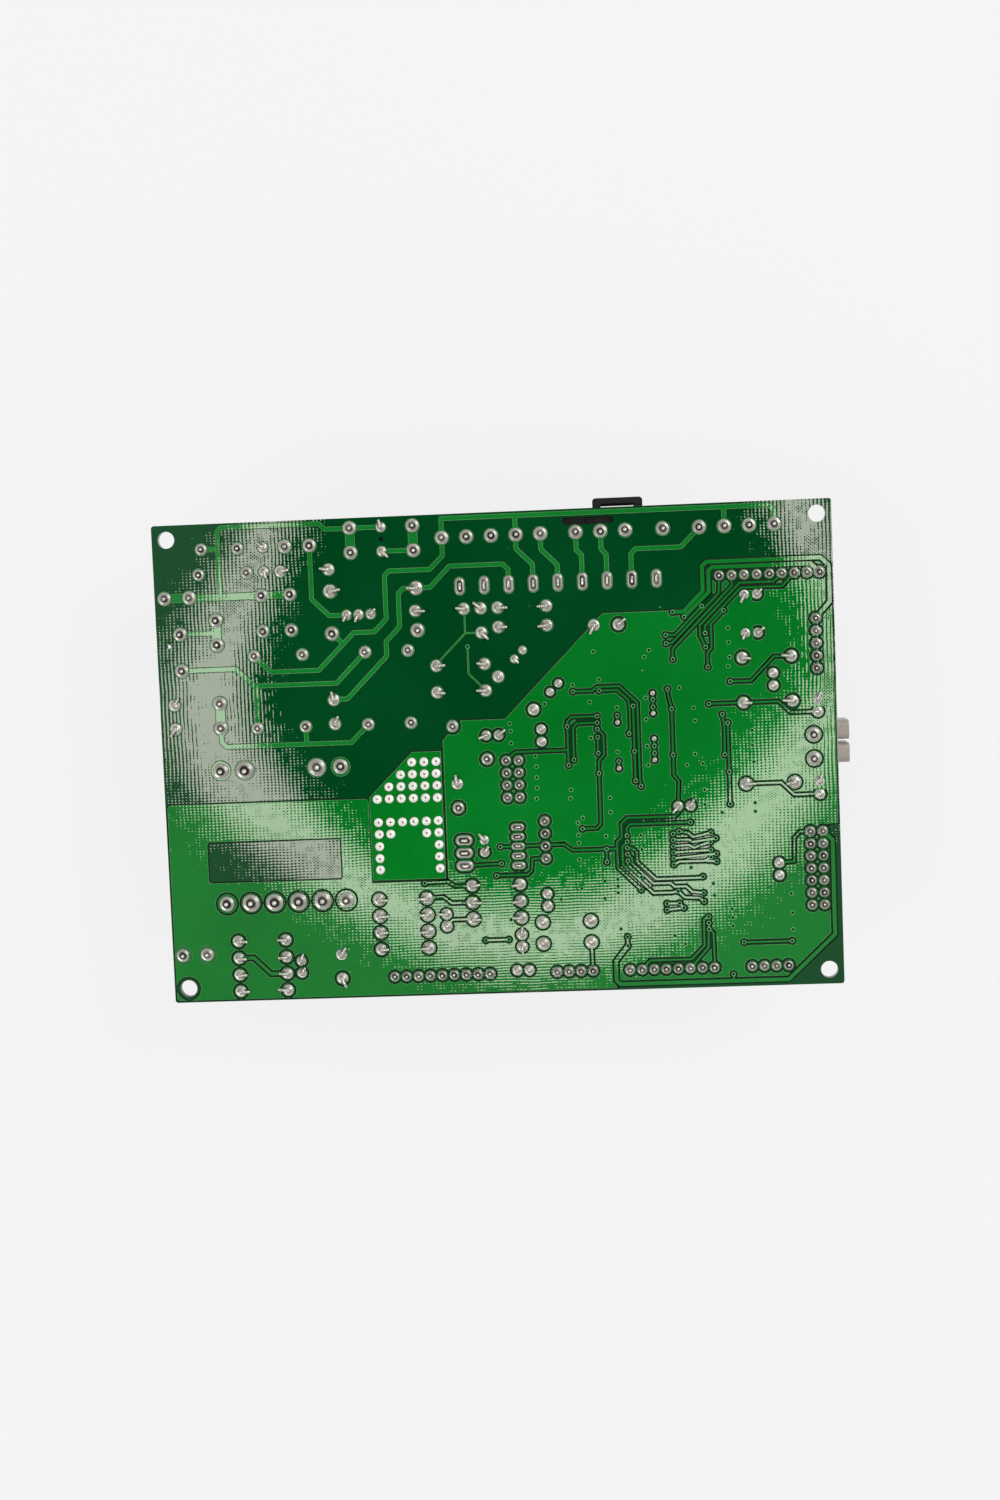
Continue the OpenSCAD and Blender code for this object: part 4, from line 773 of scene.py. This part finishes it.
# moulded, dipped and folded bodies: how wide their edges are rounded, and where if not everywhere
SOFTENED = (
    ("terminal_block", 0.5 * MM, nose),
    ("film_capacitors", 0.45 * MM, None),
    ("disc_capacitors", 0.8 * MM, None),
    ("small_capacitors", 0.7 * MM, None),
    ("varistor", 1.2 * MM, None),
    ("control_module", 0.6 * MM, None),
    ("transformer_coil", 1.1 * MM, None),
    ("transformer_bobbin", 0.3 * MM, clear_of_board),
    ("optocoupler", 0.3 * MM, None),
    ("chips", 0.12 * MM, None),
    ("regulator", 0.2 * MM, None),
    ("switcher", 0.2 * MM, None),
)
SHARP = math.radians(55)
ROUND_STEPS = 4


def soften(node_name, width, where):
    """A copy of a node with its sharp edges rounded, which takes the node's place."""
    bm = bmesh.new()
    bm.from_mesh(nodes[node_name].data)
    bmesh.ops.remove_doubles(bm, verts=bm.verts, dist=0.2 * MICRON)
    bmesh.ops.dissolve_limit(bm, angle_limit=math.radians(0.5), verts=bm.verts, edges=bm.edges)
    sharp = [e for e in bm.edges if len(e.link_faces) == 2 and e.calc_face_angle() > SHARP
             and (where is None or (where(e.verts[0].co) and where(e.verts[1].co)))]
    bmesh.ops.bevel(bm, geom=sharp, offset=width, offset_type="OFFSET", segments=ROUND_STEPS, profile=0.5,
                    affect="EDGES", clamp_overlap=True)
    bmesh.ops.triangulate(bm, faces=bm.faces)
    mesh = bpy.data.meshes.new(node_name + "_soft")
    bm.to_mesh(mesh)
    bm.free()
    o = place(node_name + "_soft", mesh, slots[node_name])
    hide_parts(node_name)


for node_name, width, where in SOFTENED:
    soften(node_name, width, where)


# ---------------------------------------------------------------- small parts of the component side
def latch_bar():
    """Inner bar of the latch frame, thicker than its other sides, with edges cut towards the board."""
    shape = Shape()
    x0, y0 = on_board(93.1, 100.4)
    x1, y1 = on_board(99.9, 100.8)
    z0, z1 = under_z - 5.8 * MM, under_z - 1.2 * MM
    corner, chamfer = 0.15 * MM, 0.05 * MM
    section = [(y1, z0), (y0 + corner, z0), (y0 + chamfer, z0 + chamfer), (y0, z0 + corner),
               (y0, z1 - corner), (y0 + chamfer, z1 - chamfer), (y0 + corner, z1), (y1, z1)]
    n = len(section)
    for x in (x0, x1):
        shape.verts.extend((x, y, z) for y, z in section)
    shape.bridge(0, n, 2)
    shape.cap(0, n, flip=True)
    shape.cap(n, n)
    make("latch_bar", shape, "black_plastic", smooth=False)


def entry_pads():
    """Pads round the leads where they enter the component side."""
    shape = Shape()
    size = 0.8  # of the joint on the other side
    n = 24
    rings = ((1.0, 0.0), (0.97, 40 * MICRON), (0.6, 90 * MICRON), (0.42, 300 * MICRON))
    for node_name in JOINTS:
        if node_name == "solder_dots":
            continue
        for box in islands(nodes[node_name]):
            c = middle(box)
            rx, ry = (size * (box[1][i] - box[0][i]) / 2 for i in (0, 1))
            base = len(shape.verts)
            for share, drop in rings:
                shape.verts.extend(ring_points(c.x, c.y, under_z - drop, rx * share, ry * share, n))
            shape.bridge(base, n, len(rings), flip=True)
    o = make("entry_pads", shape, "solder")
    # every pad gets the same low share of the solder's painted shade
    carry_painted_shade(o, [0.15] * len(shape.verts))


def choke_turns(shape):
    """Turns of wire round the choke's two coils, each a rounded oblong."""
    inset, corner, wire, pitch = 0.12 * MM, 0.9 * MM, 0.27 * MM, 0.55 * MM
    arc_steps, arc_step = 5, 22.5
    for box in islands(nodes["choke_coils"]):
        lo, hi = Vector(box[0]), Vector(box[1])
        corners = ((hi.x - corner, hi.z - corner, 0), (lo.x + corner, hi.z - corner, 90),
                   (lo.x + corner, lo.z + corner, 180), (hi.x - corner, lo.z + corner, 270))
        y = lo.y + 0.4 * MM
        while y < hi.y - 0.3 * MM:
            loop = []
            for cx, cz, start in corners:
                for step in range(arc_steps):
                    a = math.radians(start + arc_step * step)
                    r = corner - inset
                    loop.append(Vector((cx + r * math.cos(a), y, cz + r * math.sin(a))))
            shape.tube(loop, wire, 6, closed=True)
            y += pitch


def line_coil_turns(shape):
    """The helix of the upright line coil, clear of both of its ends."""
    lo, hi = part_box("line_coil")
    c = (lo + hi) / 2
    radius, wire, margin = 2.75 * MM, 0.26 * MM, 1.5 * MM
    turns, per_turn = 10, 20
    steps = turns * per_turn
    helix = []
    for i in range(steps + 1):
        a = 2 * math.pi * i / per_turn
        z = lo.z + margin + (hi.z - lo.z - 2 * margin) * i / steps
        helix.append(Vector((c.x + radius * math.cos(a), c.y + radius * math.sin(a), z)))
    shape.tube(helix, wire, 6)


def fuse_element():
    """The thin wire inside the fuse's glass."""
    shape = Shape()
    lo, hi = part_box("fuse_glass")
    c = (lo + hi) / 2
    end = 0.2 * MM
    shape.tube([Vector((c.x, y, c.z)) for y in (lo.y + end, c.y, hi.y - end)], 0.13 * MM, 8)
    make("fuse_element", shape, "tinned")


def can_dressing():
    """Scored aluminium end and pale stripe of the electrolytic capacitor."""
    lo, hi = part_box("electrolytic_capacitor")
    c = (lo + hi) / 2
    end_z = lo.z - 20 * MICRON
    drop = 60 * MICRON
    end = Shape()
    end.verts.append((c.x, c.y, end_z - drop))
    n = 36
    rings = ((4.1 * MM, 0.0), (3.9 * MM, -drop), (1.2 * MM, -drop))
    last = end.turned(c.x, c.y, end_z, rings, n, flip=True) + (len(rings) - 1) * n
    end.faces.extend((0, last + (i + 1) % n, last + i) for i in range(n))
    make("can_end", end, "core_steel", smooth=False,
         material=metal_material("aluminium", srgb(206, 208, 210), 0.35))

    scores = Shape()
    reach = 3.5 * MM
    for degrees in (30, 75, 120, 165):
        a = math.radians(degrees)
        d = Vector((math.cos(a), math.sin(a), 0))
        centre = Vector((c.x, c.y, end_z - drop))
        scores.tube([centre + d * t for t in (-reach, 0.0, reach)], 0.09 * MM, 6)
    make("can_scores", scores, "black_gloss")

    stripe = Shape()
    steps, first, step, radius = 9, 200, 5, 5.03 * MM
    for i in range(steps):
        a = math.radians(first + step * i)
        for z in (lo.z + 0.6 * MM, hi.z - 2.2 * MM):
            stripe.verts.append((c.x + radius * math.cos(a), c.y + radius * math.sin(a), z))
    stripe.faces.extend((2 * i, 2 * i + 2, 2 * i + 3, 2 * i + 1) for i in range(steps - 1))
    make("can_stripe", stripe, "sleeve", material=plastic_material("stripe", (0.5, 0.5, 0.48), 0.35))


def chip_marks():
    """Dimples that mark the first lead of each chip."""
    shape = Shape()
    inset = 1.1 * MM
    n = 16
    rings = ((0.4 * MM, 0.0), (0.34 * MM, -20 * MICRON), (0.3 * MM, -10 * MICRON))
    for lo, hi in islands(nodes["chips"]):
        base = shape.turned(lo[0] + inset, hi[1] - inset, lo[2] - 20 * MICRON, rings, n, flip=True)
        shape.cap(base + (len(rings) - 1) * n, n, flip=True)
    make("chip_marks", shape, "black_gloss")


latch_bar()
entry_pads()
windings = Shape()
choke_turns(windings)
line_coil_turns(windings)
make("wire_turns", windings, "wound_wire")
fuse_element()
can_dressing()
chip_marks()


# ---------------------------------------------------------------- floor and world
def seen_rays(tree):
    """The light path of a node tree, and whether a ray is there to be seen rather than to light."""
    path = tree.nodes.new("ShaderNodeLightPath")
    seen = path.outputs["Is Camera Ray"]
    for ray in ("Is Glossy Ray", "Is Transmission Ray"):
        either = tree.nodes.new("ShaderNodeMath")
        either.operation = "MAXIMUM"
        tree.links.new(seen, either.inputs[0])
        tree.links.new(path.outputs[ray], either.inputs[1])
        seen = either.outputs[0]
    return path, seen


def floor_material():
    """Nearly white board whose own colour is mostly a glow to rays that see it, so it keeps a shadow."""
    t = Tree("stage_floor")
    t.set(Base_Color=t.mix(t.patchy(6.0, 0.0, 1.0), (0.86, 0.86, 0.865), (0.88, 0.88, 0.885)),
          Roughness=0.9, Specular_IOR_Level=0.1)
    rays, seen = seen_rays(t.t)
    glow = t.add("ShaderNodeEmission")
    glow.inputs["Color"].default_value = (0.88, 0.88, 0.88, 1.0)
    lift = t.math("MULTIPLY", rays.outputs["Is Camera Ray"], 0.05)
    t.link(t.math("ADD", lift, 1.0), glow.inputs["Strength"])
    both = t.add("ShaderNodeMixShader")
    t.link(t.math("MULTIPLY", seen, 0.86), both.inputs["Fac"])
    t.link(t.bsdf.outputs[0], both.inputs[1])
    t.link(glow.outputs[0], both.inputs[2])
    t.surface(both.outputs[0])
    return t.mat


FLOOR_SIZE = 3.0
floor_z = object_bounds()[0][2] - 0.2 * MM
bpy.ops.mesh.primitive_plane_add(size=FLOOR_SIZE, location=(0, 0, floor_z))
floor = bpy.context.object
floor.name = "stage_floor"
floor.data.materials.append(floor_material())

world = bpy.data.worlds.new("studio")
scene.world = world
world.use_nodes = True
sky = world.node_tree
backdrop = sky.nodes.new("ShaderNodeMix")
backdrop.data_type = "RGBA"
backdrop.inputs[6].default_value = (0.72, 0.725, 0.73, 1)  # the light it gives
backdrop.inputs[7].default_value = (0.87, 0.87, 0.87, 1)   # what is seen of it
sky.links.new(seen_rays(sky)[1], backdrop.inputs[0])
sky.links.new(backdrop.outputs[2], sky.nodes["Background"].inputs["Color"])


# ---------------------------------------------------------------- lamps and cards
def lamp(name, loc, size, power):
    """A square lamp that points at the middle of the board."""
    d = bpy.data.lights.new(name, "AREA")
    d.energy = power
    d.shape = "RECTANGLE"
    d.size = size
    d.size_y = size
    o = bpy.data.objects.new(name, d)
    scene.collection.objects.link(o)
    o.location = loc
    o.rotation_euler = (-Vector(loc)).to_track_quat("-Z", "Y").to_euler()


lamp("key_right", (0.62, 0.42, 0.9), 0.35, 3.0)
lamp("key_left", (-0.75, -0.3, 0.9), 0.4, 1.8)


def card(name, verts, faces, strength, colour=(1.0, 1.0, 1.0)):
    """A glowing studio card that shows in reflections and nowhere else."""
    t = Tree(name)
    glow = t.add("ShaderNodeEmission")
    glow.inputs["Color"].default_value = colour + (1.0,)
    glow.inputs["Strength"].default_value = strength
    t.surface(glow.outputs[0])
    me = bpy.data.meshes.new(name)
    me.from_pydata(verts, [], faces)
    me.materials.append(t.mat)
    o = bpy.data.objects.new(name, me)
    scene.collection.objects.link(o)
    o.visible_camera = False
    o.visible_diffuse = False
    o.visible_transmission = False
    o.visible_shadow = False


def spline(points, steps):
    """Points of a smooth open curve through given ones."""
    out = []
    n = len(points)
    for i in range(n - 1):
        p0, p1, p2, p3 = (points[max(0, min(n - 1, i + k))] for k in (-1, 0, 1, 2))
        for s in range(steps):
            t = s / steps
            out.append(tuple(0.5 * (2 * b + (c - a) * t + (2 * a - 5 * b + 4 * c - d) * t * t
                                    + (3 * b - a - 3 * c + d) * t ** 3)
                             for a, b, c, d in zip(p0, p1, p2, p3)))
    out.append(points[-1])
    return out


EYE = (0.024761, 0.035461, 0.44126)  # the camera's place
WARM = (1.0, 0.98, 0.87)


def mirrored(x, y, lift=0.0):
    """Where a card hangs, at the camera's height or a lift above it, to be mirrored at a place."""
    wx, wy = on_board(x, y)
    return 2 * wx - EYE[0], 2 * wy - EYE[1], EYE[2] + lift


def mirror_light(name, band, strength):
    """A glowing ribbon; band is where its mirror image falls, as (x, y, half width)."""
    pts = spline(band, 8)
    verts = []
    for i, (x, y, w) in enumerate(pts):
        a, b = pts[max(0, i - 1)], pts[min(len(pts) - 1, i + 1)]
        d = Vector((b[0] - a[0], b[1] - a[1])).normalized()
        verts.extend(mirrored(x - d.y * w * s, y + d.x * w * s) for s in (-1, 1))
    card(name, verts, [(2 * i, 2 * i + 1, 2 * i + 3, 2 * i + 2) for i in range(len(pts) - 1)], strength, WARM)


def mirror_card(name, outline, lift, strength):
    """A flat card just over the ribbon; its mirror image fills this outline on the board."""
    verts = [mirrored(x, y, lift) for x, y in outline]
    card(name, verts, [tuple(range(len(verts)))], strength)


def area_card(name, middle_point, half, strength):
    """A square card that faces the board."""
    facing = (-Vector(middle_point)).to_track_quat("Z", "Y")
    corners = ((-1, -1), (1, -1), (1, 1), (-1, 1))
    verts = [tuple(Vector(middle_point) + facing @ Vector((half * u, half * v, 0))) for u, v in corners]
    card(name, verts, [(0, 1, 2, 3)], strength)


BAND = [
    (28, 108, 4), (22, 93, 4.5), (15, 79, 6), (10.5, 65, 8), (12, 51, 8), (23, 37.5, 6.5), (36, 26.5, 5.5),
    (50, 18, 6), (64, 13, 6.5), (79, 11.5, 6.5), (92, 14, 6.5), (104, 20, 7), (116, 29, 7.5),
    (126, 38.5, 7.5), (133, 48.5, 6.5), (139.5, 61, 3), (141, 76, 3.5), (136, 90, 4), (130, 106, 5),
]
FAR_LOW, FAR_RIGHT, FAR_TOP = -400, 540, 500
CEILING = [(FAR_LOW, FAR_LOW), (FAR_RIGHT, FAR_LOW), (FAR_RIGHT, FAR_TOP), (FAR_LOW, FAR_TOP)]

mirror_light("stage_band", BAND, 9.3)
area_card("stage_bright", (0.42, 0.34, 0.62), 0.34, 4.6)
area_card("stage_side", (-0.5, -0.45, 0.5), 0.2, 2.0)
mirror_card("stage_dark", [(x, y) for x, y, _ in BAND], 4 * MM, 0.0)
mirror_card("stage_grey", CEILING, 8 * MM, 0.36)

# ---------------------------------------------------------------- camera
PHOTO_WIDTH = 1000.0    # pixels
FOCAL_LENGTH = 2137.07  # pixels
SENSOR = 36.0           # millimetres

cam = bpy.data.cameras.new("camera")
cam.sensor_fit = "HORIZONTAL"
cam.sensor_width = SENSOR
cam.lens = FOCAL_LENGTH * SENSOR / PHOTO_WIDTH
cam.clip_start = 0.01
cam_obj = bpy.data.objects.new("camera", cam)
scene.collection.objects.link(cam_obj)
right = Vector((0.99785, -0.04008, -0.05179)).normalized()
down = Vector((-0.03586, -0.99615, 0.07997)).normalized()
fwd = right.cross(down).normalized()
down = fwd.cross(right).normalized()
rot = Matrix((right, -down, -fwd)).transposed()
cam_obj.matrix_world = Matrix.Translation(EYE) @ rot.to_4x4()
scene.camera = cam_obj
scene.view_settings.view_transform = "Standard"
